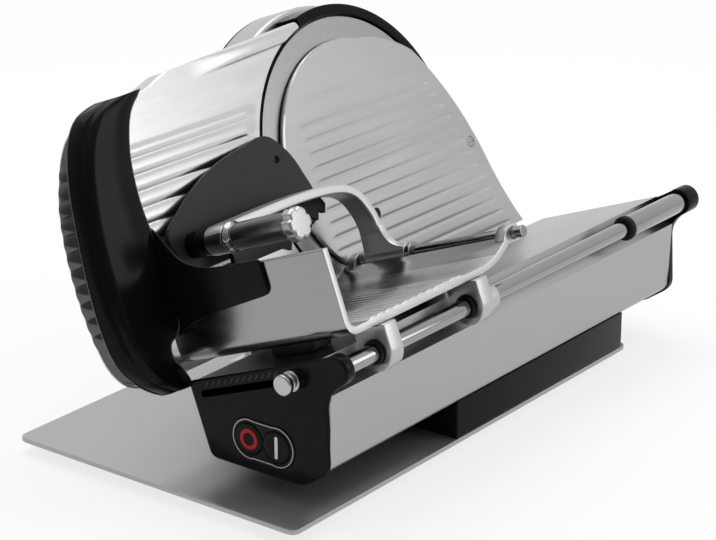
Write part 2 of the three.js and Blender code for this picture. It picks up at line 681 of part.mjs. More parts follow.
// Thickness knob, its stem in the slot and the slider behind it
const knobFront = capFront - KNOB_LENGTH;
const headBack = knobFront + KNOB_HEAD;
const flangeFront = capFront - KNOB_FLANGE;
const stemEnd = capBack + SWITCH_PROUD;
const knobProfile = [[0, knobFront], [KNOB_RADIUS - KNOB_EDGE, knobFront], [KNOB_RADIUS, knobFront + KNOB_EDGE],
  [KNOB_RADIUS, headBack], [KNOB_NECK, headBack + KNOB_TAPER], [KNOB_NECK, flangeFront - KNOB_TAPER],
  [KNOB_RADIUS, flangeFront], [KNOB_RADIUS, capFront - SEAT_GAP], [KNOB_STEM, capFront - SEAT_GAP],
  [KNOB_STEM, stemEnd], [0, stemEnd]];
mesh(leaning, 'thickness_knob', turnedY(knobProfile), chrome).position.set(KNOB_OUT, 0, knobUp);
const sliderTop = BODY_TOP - BODY_WALL - SLIDER_ROOM;
const sliderLeft = KNOB_OUT - SLIDER_WIDTH / 2;
const sliderShape = rectangle(sliderLeft, sliderTop - SLIDER_HEIGHT, sliderLeft + SLIDER_WIDTH, sliderTop);
const sliderStart = stemEnd + SEAT_GAP;
mesh(leaning, 'thickness_slider', bar(sliderShape, sliderStart, sliderStart + SLIDER_DEPTH), mattBlack);

// Blade, shaft and drive, all round an axis square to the blade plane
const onBladeAxis = (name, geometry, material) =>
  mesh(leaning, name, geometry, material).position.set(0, BLADE_ALONG, BLADE_UP);
const bevelStart = BLADE_RADIUS - BLADE_BEVEL;
const bladeProfile = [[BLADE_BORE, -BLADE_THICKNESS], [bevelStart, -BLADE_THICKNESS],
  [BLADE_RADIUS, -EDGE_BACK], [BLADE_RADIUS, -EDGE_FRONT], [bevelStart, 0], [BLADE_BORE, 0],
  [BLADE_BORE, -BLADE_THICKNESS]];
onBladeAxis('blade', turnedX(bladeProfile, 3 * FINE_STEPS), steel);
const hubFront = -BLADE_THICKNESS - SEAT_GAP;
const hubBack = hubFront - HUB_THICKNESS;
const housingBack = HOUSING_FRONT - HOUSING_DEPTH;
const shaftEnd = housingBack + HOUSING_WALL;
const shaftProfile = [[0, shaftEnd], [SHAFT_RADIUS, shaftEnd], [SHAFT_RADIUS, hubBack], [HUB_RADIUS, hubBack],
  [HUB_RADIUS, hubFront], [BLADE_BORE - SEAT_GAP, hubFront], [BLADE_BORE - SEAT_GAP, -SHAFT_SUNK],
  [0, -SHAFT_SUNK]];
onBladeAxis('blade_shaft', turnedX(shaftProfile), steel);
const bearingFront = HOUSING_FRONT + BEARING_LENGTH / 2;
const bearingProfile = tubeProfile(SHAFT_RADIUS + SLIDE_GAP, BEARING_RADIUS, bearingFront - BEARING_LENGTH,
  bearingFront);
onBladeAxis('blade_bearing', turnedX(bearingProfile, 3 * FINE_STEPS), steel);
const pulleyBack = shaftEnd + PULLEY_SETBACK;
const pulleyFront = pulleyBack + PULLEY_WIDTH;
onBladeAxis('blade_pulley', turnedX(tubeProfile(SHAFT_RADIUS + SLIDE_GAP, BLADE_PULLEY_RADIUS, pulleyBack,
  pulleyFront)), aluminium);

const bladeAxis = new THREE.Vector2(BLADE_ALONG, BLADE_UP);
const motorAxis = new THREE.Vector2(BLADE_ALONG + MOTOR_BEYOND, BLADE_UP - MOTOR_BELOW);
const motorFront = housingBack - HOUSING_WALL - 2 * SEAT_GAP;
const rotorEnd = motorFront - MOTOR_LENGTH / 2;
const rotorProfile = [[0, rotorEnd], [MOTOR_SHAFT, rotorEnd], [MOTOR_SHAFT, pulleyBack],
  [MOTOR_PULLEY_RADIUS, pulleyBack], [MOTOR_PULLEY_RADIUS, pulleyFront], [0, pulleyFront]];
mesh(leaning, 'motor_pulley', turnedX(rotorProfile), aluminium).position.set(0, motorAxis.x, motorAxis.y);
const motorBack = motorFront - MOTOR_LENGTH;
const motorBore = MOTOR_SHAFT + SLIDE_GAP;
const motorProfile = [[0, motorBack], [MOTOR_RADIUS - MOTOR_EDGE, motorBack],
  [MOTOR_RADIUS, motorBack + MOTOR_EDGE], [MOTOR_RADIUS, motorFront], [motorBore, motorFront],
  [motorBore, rotorEnd - SEAT_GAP], [0, rotorEnd - SEAT_GAP]];
mesh(leaning, 'motor', turnedX(motorProfile), mattBlack).position.set(0, motorAxis.x, motorAxis.y);
const beltOnBlade = BLADE_PULLEY_RADIUS + SEAT_GAP;
const beltOnMotor = MOTOR_PULLEY_RADIUS + SEAT_GAP;
const belt = wheelPair(bladeAxis, beltOnBlade + BELT_THICKNESS, motorAxis, beltOnMotor + BELT_THICKNESS);
belt.holes.push(wheelPair(bladeAxis, beltOnBlade, motorAxis, beltOnMotor));
const beltBack = pulleyBack + (PULLEY_WIDTH - BELT_WIDTH) / 2;
mesh(leaning, 'drive_belt', slab(belt, beltBack, beltBack + BELT_WIDTH, FINE_STEPS), rubber);

// Housing behind the blade: a round case with a wing on its far side
function housingShape(inset) {
  const radius = HOUSING_RADIUS - inset;
  const bottom = HOUSING_BOTTOM + inset;
  const start = -Math.PI - Math.asin((bottom - BLADE_UP) / radius);
  const shape = new THREE.Shape();
  shape.absarc(BLADE_ALONG, BLADE_UP, radius, start, HOUSING_SHOULDER - 2 * Math.PI, true);
  const wing = COVER_END - inset;
  shape.quadraticCurveTo(wing - 48, WING_UP + 70, wing - 24, WING_UP);
  shape.quadraticCurveTo(wing - 14, WING_UP - 45, wing, bottom);
  shape.closePath();
  return shape;
}

const coverBack = COVER_GAP;
const postTop = coverBack - SEAT_GAP;
const postProfile = rodProfile(POST_RADIUS, HOUSING_FRONT - HOUSING_WALL / 2, postTop);
const post = (along, up) => turnedX(postProfile, FINE_STEPS).translate(0, along, up);
const bearingSeat = BEARING_RADIUS + SLIDE_GAP;
const bearingBoss = turnedX(rodProfile(BEARING_RADIUS + BOSS_WALL, bearingFront - BEARING_LENGTH - HOUSING_WALL,
  bearingFront)).translate(0, BLADE_ALONG, BLADE_UP);
const bearingHole = turnedX(rodProfile(bearingSeat, housingBack, bearingFront + 1), 3 * FINE_STEPS)
  .translate(0, BLADE_ALONG, BLADE_UP);
const housingCase = cut(slab(housingShape(0), housingBack, HOUSING_FRONT, FINE_STEPS),
  slab(housingShape(HOUSING_WALL), housingBack - 1, HOUSING_FRONT - HOUSING_WALL, FINE_STEPS));
const posts = [post(SCREW_ALONG, SCREW_UP), post(LOW_POST_ALONG, LOW_POST_UP)];
mesh(leaning, 'blade_housing', cut(join(housingCase, bearingBoss, ...posts), bearingHole), brightAluminium);
const motorHole = turnedX(rodProfile(2 * MOTOR_SHAFT, motorFront, housingBack), FINE_STEPS)
  .translate(0, motorAxis.x, motorAxis.y);
const backPlateFront = housingBack - SEAT_GAP;
const backPlate = slab(housingShape(0), backPlateFront - HOUSING_WALL, backPlateFront, FINE_STEPS);
mesh(leaning, 'housing_back', cut(backPlate, motorHole), mattBlack);

// Stand that carries the housing on the base plate
const standTop = HOUSING_BOTTOM - SEAT_GAP;
const standRight = level(HOUSING_FRONT, standTop);
const standLeft = level(housingBack, standTop);
const standFloor = PLATE_THICKNESS + SEAT_GAP;
const standShape = outline([[standLeft.x, standFloor], [standRight.x, standFloor], [standRight.x, standRight.y],
  [standLeft.x, standLeft.y]]);
mesh(base, 'housing_stand', bar(standShape, STAND_FRONT, STAND_FRONT + STAND_LENGTH), brightAluminium);

// Ring guard round the blade's free edge
const ring = new THREE.Shape();
ring.absarc(BLADE_ALONG, BLADE_UP, RING_OUTSIDE, RING_END, RING_START, false);
ring.absarc(BLADE_ALONG, BLADE_UP, RING_INSIDE, RING_START, RING_END, true);
ring.closePath();
mesh(leaning, 'ring_guard', slab(ring, HOUSING_FRONT + SEAT_GAP, coverBack - SEAT_GAP, FINE_STEPS), glossBlack);

// Blade cover: a grooved plate, round by the blade's edge and winged behind it
const cover = new THREE.Shape();
cover.absarc(BLADE_ALONG, BLADE_UP, COVER_RADIUS, COVER_HEAD, COVER_FOOT, false);
cover.lineTo(BLADE_ALONG - COVER_TOE, COVER_BOTTOM);
cover.lineTo(COVER_END - 4, COVER_BOTTOM);
cover.quadraticCurveTo(COVER_END - 18, WING_UP - 37, COVER_END - 30, WING_UP);
cover.quadraticCurveTo(COVER_END - 48, WING_UP + 71, COVER_END - 96, WING_UP + 127);
cover.quadraticCurveTo(COVER_END - 130, WING_UP + 151, BLADE_ALONG + COVER_RADIUS * Math.cos(COVER_HEAD),
  BLADE_UP + COVER_RADIUS * Math.sin(COVER_HEAD));
cover.closePath();
const coverFront = coverBack + COVER_THICKNESS;
const grooves = Array.from({ length: GROOVE_COUNT }, (unused, i) => {
  const up = GROOVE_TOP - i * GROOVE_PITCH;
  const end = COVER_END - GROOVE_MARGIN - (up - COVER_BOTTOM) * GROOVE_SLANT;
  const shape = slotShape(new THREE.Vector2(GROOVE_START, up), new THREE.Vector2(end, up), GROOVE_WIDTH / 2);
  return slab(shape, coverFront - GROOVE_DEPTH, coverFront + 1, 2);
});
const screwHole = turnedX(rodProfile(SCREW_RADIUS + SEAT_GAP, coverBack - 1, coverFront + 1), FINE_STEPS)
  .translate(0, SCREW_ALONG, SCREW_UP);
const coverPlate = slab(cover, coverBack, coverFront, FINE_STEPS);
mesh(leaning, 'blade_cover', cut(coverPlate, ...grooves, screwHole), brightAluminium);
const screwProfile = rodProfile(SCREW_RADIUS, postTop + SEAT_GAP, coverFront);
mesh(leaning, 'cover_screw', turnedX(screwProfile, FINE_STEPS), steel).position.set(0, SCREW_ALONG, SCREW_UP);

// Thickness plate: ribbed face, rolled left end, thick top bar, edge hollowed round the blade
const gaugeEdge = BLADE_RADIUS + GAUGE_BLADE_GAP;
function gaugeShape(shift) {
  const left = GAUGE_LEFT + shift;
  const top = GAUGE_TOP + shift;
  const bottom = GAUGE_BOTTOM - shift;
  const slope = GAUGE_TOP - shift;
  const shape = new THREE.Shape();
  shape.moveTo(BLADE_ALONG, top);
  shape.lineTo(left + GAUGE_SHOULDER, top - GAUGE_SHOULDER_DROP);
  shape.quadraticCurveTo(left + GAUGE_BROW, slope - GAUGE_BROW_DROP,
    left + GAUGE_SLOPE, slope - GAUGE_SLOPE_DROP);
  shape.quadraticCurveTo(left + GAUGE_CORNER, slope - GAUGE_CORNER_DROP,
    left + GAUGE_CHEEK, slope - GAUGE_CHEEK_DROP);
  shape.bezierCurveTo(left + GAUGE_FLANK, GAUGE_TOP - GAUGE_FLANK_DROP,
    left - GAUGE_FLANK, GAUGE_BOTTOM + GAUGE_FLANK_RISE, left + GAUGE_HIP, GAUGE_BOTTOM + GAUGE_HIP_RISE);
  shape.quadraticCurveTo(left + GAUGE_TOE, GAUGE_BOTTOM + GAUGE_HIP, left + GAUGE_HEEL, bottom);
  shape.lineTo(BLADE_ALONG, bottom);
  shape.closePath();
  return shape;
}

const face = new THREE.Shape();
face.moveTo(-GAUGE_THICKNESS, GAUGE_BOTTOM - CUT_MARGIN);
const ribBottom = RIB_TOP - RIB_COUNT * RIB_PITCH;
face.lineTo(0, GAUGE_BOTTOM - CUT_MARGIN);
face.lineTo(0, ribBottom);
for (let i = 0; i < RIB_COUNT; i += 1) {
  const low = ribBottom + i * RIB_PITCH;
  face.quadraticCurveTo(2 * RIB_HEIGHT, low + RIB_PITCH / 2, 0, low + RIB_PITCH);
}
face.lineTo(0, GAUGE_TOP + CUT_MARGIN);
face.lineTo(-GAUGE_THICKNESS, GAUGE_TOP + CUT_MARGIN);
face.closePath();
const gaugeOutline = slab(gaugeShape(0), -GAUGE_RIM - 5, TOP_BAR_PROUD + 5);
const gaugeFace = common(bar(face, GAUGE_LEFT - 20, BLADE_ALONG + 5), gaugeOutline);
const rimFront = -GAUGE_THICKNESS / 2;
const gaugeRim = cut(slab(gaugeShape(0), -GAUGE_RIM, rimFront),
  slab(gaugeShape(GAUGE_RIM_WALL), -GAUGE_RIM - 1, rimFront + 1));
const topBarBack = -GAUGE_THICKNESS - TOP_BAR_BACK;
const topBarShape = rectangle(topBarBack, GAUGE_TOP - TOP_BAR_HEIGHT, TOP_BAR_PROUD, GAUGE_TOP, TOP_BAR_ROUND);
const topBar = bar(topBarShape, TOP_BAR_START, BLADE_ALONG);
const bladeRoundProfile = rodProfile(gaugeEdge, -GAUGE_RIM - CUT_MARGIN, TOP_BAR_PROUD + CUT_MARGIN);
const bladeRound = turnedX(bladeRoundProfile, 4 * FINE_STEPS).translate(0, BLADE_ALONG, BLADE_UP);
const gaugeSideShape = rectangle(GAUGE_SIDE, GAUGE_BOTTOM - CUT_MARGIN, BLADE_ALONG + CUT_MARGIN, BLADE_UP);
const gaugeSide = slab(gaugeSideShape, -GAUGE_RIM - 5, TOP_BAR_PROUD + 5);
mesh(leaning, 'gauge_plate', cut(join(gaugeFace, gaugeRim, topBar), bladeRound, gaugeSide), brightAluminium);

// Bracket behind the thickness plate, the rail it slides on and the push rod that moves it
const bracketFloor = BRACKET_BASE + SEAT_GAP;
const bracketFront = -GAUGE_THICKNESS - SEAT_GAP;
const bracketShape = outline([[bracketFront - BRACKET_REACH, bracketFloor], [bracketFront, bracketFloor],
  [bracketFront, BRACKET_TOP], [bracketFront - BRACKET_WALL, BRACKET_TOP],
  [bracketFront - BRACKET_WALL, bracketFloor + BRACKET_BASE_HEIGHT],
  [bracketFront - BRACKET_REACH, bracketFloor + BRACKET_BASE_HEIGHT]]);
mesh(leaning, 'gauge_bracket', bar(bracketShape, BRACKET_FRONT, BRACKET_FRONT + BRACKET_LENGTH), aluminium);
const railRight = level(bracketFront, BRACKET_BASE);
const railLeft = level(bracketFront - BRACKET_REACH - GAUGE_TRAVEL - RAIL_MARGIN, BRACKET_BASE);
const railShape = outline([[railLeft.x, standFloor], [railRight.x, standFloor], [railRight.x, railRight.y],
  [railLeft.x, railLeft.y]]);
mesh(base, 'gauge_rail', bar(railShape, BRACKET_FRONT, BRACKET_FRONT + BRACKET_LENGTH), mattBlack);
const pushRodProfile = rodProfile(PUSH_ROD_RADIUS, bracketFront + SEAT_GAP, bracketFront + PUSH_ROD_LENGTH);
mesh(leaning, 'push_rod', turnedX(pushRodProfile, FINE_STEPS), steel).position.set(0, pushRodAlong, pushRodUp);

// Tray: front wall, floor and leaning back lip bent from one sheet, with holders for the pusher's rod
const trayUnder = TRAY_FLOOR - TRAY_SHEET;
const trayBack = TRAY_FRONT + TRAY_LENGTH;
const trayOuter = TRAY_INNER + TRAY_WIDTH;
const wallBack = TRAY_FRONT + TRAY_SHEET;
const lipStart = trayBack - BACK_LIP_START;
const lipEnd = trayBack + BACK_LIP_REACH;
const lipAngle = Math.atan2(BACK_LIP_HEIGHT, lipEnd - lipStart);
const lipInward = TRAY_SHEET * Math.sin(lipAngle);
const lipUpward = TRAY_SHEET * Math.cos(lipAngle);
const lipUnder = trayUnder + BACK_LIP_HEIGHT;
const trayShape = outline([[TRAY_FRONT, TRAY_WALL_TOP, RIM_ROUND], [TRAY_FRONT, trayUnder, TRAY_BEND],
  [lipStart, trayUnder, BACK_LIP_BEND], [lipEnd, lipUnder], [lipEnd - lipInward, lipUnder + lipUpward],
  [lipStart - lipInward / 2, TRAY_FLOOR, BACK_LIP_BEND], [wallBack, TRAY_FLOOR, TRAY_BEND - TRAY_SHEET],
  [wallBack, TRAY_WALL_TOP, RIM_ROUND]]);
const holderTop = PUSHER_ROD_UP + HOLDER_RADIUS;
const holderUnder = PUSHER_ROD_UP - HOLDER_RADIUS;
const holderFar = PUSHER_ROD_ALONG + HOLDER_RADIUS;
const holderShape = outline([[lipEnd - HOLDER_ROUND, lipUnder - lipUpward / 4],
  [holderFar, holderUnder, HOLDER_ROUND], [holderFar, holderTop, HOLDER_ROUND],
  [PUSHER_ROD_ALONG - HOLDER_RADIUS, holderTop, HOLDER_ROUND],
  [lipEnd - lipInward - HOLDER_ROUND, lipUnder + lipUpward / 2]]);
const holderPlaces = [TRAY_INNER + HOLDER_INSET, trayOuter - HOLDER_WIDTH];
const holders = holderPlaces.map((out) => slab(holderShape, out, out + HOLDER_WIDTH));
const pusherRodEnd = PUSHER_ROD_START + PUSHER_ROD_LENGTH;
const holderBore = turnedX(rodProfile(PUSHER_ROD_RADIUS + SLIDE_GAP, 0, pusherRodEnd))
  .translate(0, PUSHER_ROD_ALONG, PUSHER_ROD_UP);
const traySolid = join(slab(trayShape, TRAY_INNER, trayOuter), ...holders);
mesh(leaning, 'tray', cut(traySolid, holderBore), brightAluminium);
mesh(leaning, 'pusher_rod', turnedX(rodProfile(PUSHER_ROD_RADIUS, PUSHER_ROD_START, pusherRodEnd)), chrome)
  .position.set(0, PUSHER_ROD_ALONG, PUSHER_ROD_UP);

// Bearing blocks on the guide rod with their bushes, and slide shoes under the tray
const bushOutside = ROD_RADIUS + SLIDE_GAP + BUSH_WALL;
const blockTop = trayUnder - SEAT_GAP;
const blockRing = new THREE.Shape();
blockRing.absarc(ROD_OUT, ROD_UP, BLOCK_RADIUS, Math.PI, 2 * Math.PI, false);
blockRing.lineTo(ROD_OUT + BLOCK_RADIUS, blockTop);
blockRing.lineTo(ROD_OUT - BLOCK_RADIUS, blockTop);
blockRing.closePath();
[['front', FRONT_BLOCK, 0], ['rear', REAR_BLOCK, BARREL_LENGTH]].forEach(([end, along, behind]) => {
  const blockEnd = along + BLOCK_LENGTH + behind;
  const boreProfile = rodProfile(bushOutside + SEAT_GAP, along - 1, blockEnd + 1);
  const bore = turnedY(boreProfile).translate(ROD_OUT, 0, ROD_UP);
  const barrel = turnedY(rodProfile(BARREL_RADIUS, along + 1, blockEnd)).translate(ROD_OUT, 0, ROD_UP);
  const block = cut(join(bar(blockRing, along, along + BLOCK_LENGTH), barrel), bore);
  mesh(leaning, `bearing_block_${end}`, block, brightAluminium);
  const bushBack = along - SEAT_GAP;
  const bushFront = bushBack - BUSH_FLANGE_LENGTH;
  const bushProfile = [[rodBore, bushFront], [BUSH_FLANGE, bushFront], [BUSH_FLANGE, bushBack],
    [bushOutside, bushBack], [bushOutside, along + BLOCK_LENGTH], [rodBore, along + BLOCK_LENGTH],
    [rodBore, bushFront]];
  mesh(leaning, `bush_${end}`, turnedY(bushProfile), mattBlack).position.set(ROD_OUT, 0, ROD_UP);
});
const shoeShape = rectangle(SHOE_OUT, BODY_TOP + SEAT_GAP, SHOE_OUT + SHOE_WIDTH, trayUnder - SEAT_GAP);
[['front', FRONT_SHOE], ['rear', REAR_SHOE]].forEach(([end, along]) => {
  mesh(leaning, `slide_shoe_${end}`, bar(shoeShape, along, along + SHOE_LENGTH), mattBlack);
});

// Hand guard: a dished shell beside the tray's front wall, with a tongue that lies on the wall
const tongueBack = TRAY_FRONT - SEAT_GAP;
const tongueFront = tongueBack - GUARD_SHEET;
function guardShape(shiftAlong, shiftUp) {
  const shape = new THREE.Shape();
  const y = (along) => TRAY_FRONT + along + shiftAlong;
  const z = (up) => TRAY_FLOOR + up + shiftUp;
  const below = (drop) => GUARD_TOP - drop + shiftUp;
  const edge = tongueBack - GUARD_INSET + shiftAlong;
  shape.moveTo(y(GUARD_HEAD), below(0));
  shape.lineTo(y(-GUARD_CREST), below(GUARD_CREST_DROP));
  shape.quadraticCurveTo(y(-GUARD_BROW), below(GUARD_BROW_DROP),
    y(-GUARD_SHOULDER), below(GUARD_SHOULDER_DROP));
  shape.bezierCurveTo(y(-GUARD_BELLY), below(GUARD_BELLY_DROP), y(-GUARD_HIP), z(GUARD_HIP_RISE),
    y(-GUARD_HEEL), z(-GUARD_HEEL_FALL));
  shape.quadraticCurveTo(y(-GUARD_SOLE), z(-GUARD_FOOT_FALL), y(-GUARD_FOOT), z(-GUARD_FOOT_FALL));
  shape.lineTo(y(-GUARD_TOE), z(-GUARD_FOOT_FALL));
  shape.quadraticCurveTo(edge, z(GUARD_INSTEP), edge, z(GUARD_HIP_RISE));
  shape.lineTo(edge, below(GUARD_BELLY_DROP));
  shape.bezierCurveTo(y(-GUARD_SWEEP), below(GUARD_SWEEP_DROP), y(-GUARD_LIFT), below(GUARD_LIFT_DROP),
    y(GUARD_HEAD), below(0));
  shape.closePath();
  return shape;
}

const guardFace = GUARD_FAR - GUARD_SHEET;
const guardInside = slab(guardShape(GUARD_SHEET, -GUARD_SHEET), GUARD_NEAR - 1, guardFace);
const guardOpenSide = slab(guardShape(2 * GUARD_SHEET, -GUARD_SHEET), GUARD_NEAR - 1, guardFace);
const guardDish = cut(slab(guardShape(0, 0), GUARD_NEAR, GUARD_FAR), guardInside, guardOpenSide);
const tongueShape = outline([[guardFace, TRAY_FLOOR + TONGUE_LOW],
  [TONGUE_NECK, TRAY_FLOOR + TONGUE_FALL, TONGUE_ROUND],
  [GUARD_TONGUE, TRAY_FLOOR + TONGUE_END, TONGUE_ROUND], [GUARD_TONGUE, TRAY_WALL_TOP, RIM_ROUND],
  [TONGUE_NECK, TRAY_WALL_TOP, TONGUE_ROUND], [TONGUE_CREST, TRAY_WALL_TOP + TONGUE_RISE, TONGUE_ROUND],
  [guardFace, TRAY_WALL_TOP + TONGUE_REACH]]);
mesh(leaning, 'hand_guard', join(guardDish, bar(tongueShape, tongueFront, tongueBack)), glossBlack);

// Pusher: a sleeve that slides on the rod, and an arm that lifts about it
const onPusherRod = (name, geometry, material) =>
  mesh(leaning, name, geometry, material).position.set(0, PUSHER_ROD_ALONG, PUSHER_ROD_UP);
const pusherBore = PUSHER_ROD_RADIUS + SLIDE_GAP;
const sleeveOutside = pusherBore + SLEEVE_WALL;
const pusherSleeveEnd = PUSHER_SLEEVE_START + PUSHER_SLEEVE_LENGTH;
const hubEnd = pusherSleeveEnd - PUSHER_SLEEVE_FLANGE - SEAT_GAP;
const hubStart = PUSHER_SLEEVE_START + PUSHER_SLEEVE_FLANGE + SEAT_GAP;
const sleeveProfile = [[pusherBore, PUSHER_SLEEVE_START], [HUB_TUBE_RADIUS, PUSHER_SLEEVE_START],
  [HUB_TUBE_RADIUS, hubStart - SEAT_GAP], [sleeveOutside, hubStart - SEAT_GAP],
  [sleeveOutside, hubEnd + SEAT_GAP], [HUB_TUBE_RADIUS, hubEnd + SEAT_GAP],
  [HUB_TUBE_RADIUS, pusherSleeveEnd], [pusherBore, pusherSleeveEnd],
  [pusherBore, PUSHER_SLEEVE_START]];
onPusherRod('pusher_sleeve', turnedX(sleeveProfile), mattBlack);

const armEnd = ARM_START + ARM_WIDTH;
const armTop = HANDLE_UP + HANDLE_EYE - ARM_THICKNESS / 2;
const fromRod = ([along, up]) => [PUSHER_ROD_ALONG + along, PUSHER_ROD_UP + up];
const fromHandle = ([along, up, radius]) => [HANDLE_ALONG + along, HANDLE_UP + up, radius];
const armPath = [...ARM_RISE.map(fromRod), [HANDLE_ALONG + ARM_SHOULDER, armTop + 1], [HANDLE_ALONG, armTop]];
const armBar = slab(band(armPath, ARM_THICKNESS, FINE_STEPS), ARM_START, armEnd);
const handleEye = turnedX(rodProfile(HANDLE_EYE, ARM_START, armEnd)).translate(0, HANDLE_ALONG, HANDLE_UP);
const hubTube = turnedX(rodProfile(HUB_TUBE_RADIUS, hubStart, hubEnd))
  .translate(0, PUSHER_ROD_ALONG, PUSHER_ROD_UP);
const gussetFoot = PUSHER_ROD_UP + GUSSET_SHELF;
const gussetShape = outline([[hubStart, PUSHER_ROD_UP], [hubEnd, PUSHER_ROD_UP], [hubEnd, gussetFoot],
  [armEnd, PUSHER_ROD_UP + GUSSET_WAIST, GUSSET_SHELF], [armEnd, PUSHER_ROD_UP + GUSSET_RISE],
  [ARM_START, PUSHER_ROD_UP + GUSSET_RISE], [ARM_START, PUSHER_ROD_UP + GUSSET_WAIST, GUSSET_HALF],
  [hubStart, gussetFoot]]);
const gusset = bar(gussetShape, PUSHER_ROD_ALONG - 2 * GUSSET_HALF, PUSHER_ROD_ALONG);
const hubHole = turnedX(rodProfile(sleeveOutside + SLIDE_GAP, hubStart - 1, hubEnd + 1))
  .translate(0, PUSHER_ROD_ALONG, PUSHER_ROD_UP);
const studHole = turnedX(rodProfile(HANDLE_STUD + SEAT_GAP, ARM_START - 1, armEnd + 1), FINE_STEPS)
  .translate(0, HANDLE_ALONG, HANDLE_UP);
mesh(leaning, 'pusher_arm', cut(join(armBar, handleEye, hubTube, gusset), hubHole, studHole), aluminium);

const platePusherEnd = PUSHER_PLATE_START + PUSHER_PLATE_THICKNESS;
const pusherPlateShape = outline(PUSHER_PLATE_CORNERS.map(fromHandle));
mesh(leaning, 'pusher_plate', slab(pusherPlateShape, PUSHER_PLATE_START, platePusherEnd), darkGrey);

// Spiked plate under the arm: its far lower edge is a row of teeth
const spikeEnd = ARM_START - SEAT_GAP;
const spikeStart = spikeEnd - SPIKE_PLATE_THICKNESS;
const handlePoint = (pair) => new THREE.Vector2(...fromHandle(pair));
const teethFrom = handlePoint(TEETH_FROM);
const teethTo = handlePoint(TEETH_TO);
const toothStep = teethTo.clone().sub(teethFrom).divideScalar(TOOTH_COUNT);
const toothPoint = toothStep.clone().rotateAround(new THREE.Vector2(), -Math.PI / 2).setLength(TOOTH_HEIGHT);
const spikeOutline = [handlePoint(SPIKE_TOP_LEFT), handlePoint(SPIKE_LOW_LEFT)];
for (let i = 0; i < TOOTH_COUNT; i += 1) {
  const root = teethFrom.clone().addScaledVector(toothStep, i);
  spikeOutline.push(root, root.clone().addScaledVector(toothStep, 0.5).add(toothPoint));
}
spikeOutline.push(teethTo, handlePoint(SPIKE_TOP_RIGHT));
mesh(leaning, 'spike_plate', slab(new THREE.Shape(spikeOutline), spikeStart, spikeEnd), mattBlack);

// Handle: a stud through the arm's eye, with spacer, collar, grip and end knob
const onHandle = (name, geometry, material) =>
  mesh(leaning, name, geometry, material).position.set(0, HANDLE_ALONG, HANDLE_UP);
const studBore = HANDLE_STUD + SEAT_GAP;
const spacerStart = platePusherEnd + SEAT_GAP;
const spacerProfile = tubeProfile(studBore, HANDLE_RADIUS, spacerStart, ARM_START - SEAT_GAP);
onHandle('handle_spacer', turnedX(spacerProfile), darkGrey);
const collarStart = armEnd + SEAT_GAP;
const collarEnd = collarStart + COLLAR_LENGTH;
const collarProfile = [[studBore, collarStart], [COLLAR_RADIUS, collarStart],
  [COLLAR_RADIUS, collarStart + COLLAR_RIM], [HANDLE_RADIUS, collarEnd],
  [studBore, collarEnd], [studBore, collarStart]];
onHandle('handle_collar', turnedX(collarProfile), chrome);
const gripStart = collarEnd + SEAT_GAP;
const gripEnd = gripStart + GRIP_LENGTH;
const pinHole = STAR_PIN + SLIDE_GAP;
const pinHoleEnd = gripEnd - STAR_PIN_LENGTH - SEAT_GAP;
const gripProfile = [[0, spacerStart], [HANDLE_STUD, spacerStart], [HANDLE_STUD, gripStart],
  [HANDLE_RADIUS, gripStart], [HANDLE_RADIUS, gripEnd],
  [pinHole, gripEnd], [pinHole, pinHoleEnd], [0, pinHoleEnd]];
onHandle('handle_grip', turnedX(gripProfile), chrome);
const starShape = new THREE.Shape(Array.from({ length: STAR_POINTS }, (unused, i) => {
  const angle = i / STAR_POINTS * 2 * Math.PI;
  const radius = STAR_RADIUS - STAR_LOBE_DEPTH + STAR_LOBE_DEPTH * Math.cos(STAR_LOBES * angle);
  return new THREE.Vector2(radius * Math.cos(angle), radius * Math.sin(angle));
}));
const starStart = gripEnd + SEAT_GAP;
const star = slab(starShape, starStart, starStart + STAR_LENGTH);
const starPin = turnedX(rodProfile(STAR_PIN, gripEnd - STAR_PIN_LENGTH, starStart + STAR_LENGTH / 2));
onHandle('handle_knob', join(star, starPin), brightAluminium);

// The origin is the middle of the object's box, on the surface that the feet stand on.
slicer.updateMatrixWorld(true);
const middle = new THREE.Box3().setFromObject(slicer, true).getCenter(new THREE.Vector3());
base.position.x = -middle.x;
base.position.y = -middle.y;
slicer.updateMatrixWorld(true);

export default slicer;
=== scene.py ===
"""Looks of a gravity-feed food slicer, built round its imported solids.

Lengths are in millimetres unless a name says metres.
"""
import math

import bmesh
import bpy
import numpy as np
from mathutils import Matrix, Vector
from mathutils.geometry import tessellate_polygon


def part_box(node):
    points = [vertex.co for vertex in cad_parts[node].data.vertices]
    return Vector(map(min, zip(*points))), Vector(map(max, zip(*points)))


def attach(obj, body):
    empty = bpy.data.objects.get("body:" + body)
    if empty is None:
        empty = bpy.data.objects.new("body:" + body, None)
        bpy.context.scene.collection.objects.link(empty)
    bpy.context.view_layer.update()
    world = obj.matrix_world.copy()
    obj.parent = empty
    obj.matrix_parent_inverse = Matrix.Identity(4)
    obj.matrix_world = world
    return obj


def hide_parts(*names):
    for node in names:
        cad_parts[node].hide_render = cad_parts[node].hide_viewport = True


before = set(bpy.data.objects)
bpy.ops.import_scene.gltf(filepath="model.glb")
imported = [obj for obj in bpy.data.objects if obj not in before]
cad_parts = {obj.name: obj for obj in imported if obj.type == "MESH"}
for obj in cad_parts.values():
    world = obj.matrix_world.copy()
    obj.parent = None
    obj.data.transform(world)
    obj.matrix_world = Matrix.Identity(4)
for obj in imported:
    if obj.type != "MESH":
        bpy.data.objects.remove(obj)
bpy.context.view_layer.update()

# Frames: a level one on the base plate's underside, and one that leans with the blade plane
MM = 0.001
LEAN_DEGREES = 20.8
LEAN = math.radians(LEAN_DEGREES)
OUT = np.array([math.cos(LEAN), 0.0, math.sin(LEAN)])
ALONG = np.array([0.0, 1.0, 0.0])
UP = np.array([-math.sin(LEAN), 0.0, math.cos(LEAN)])
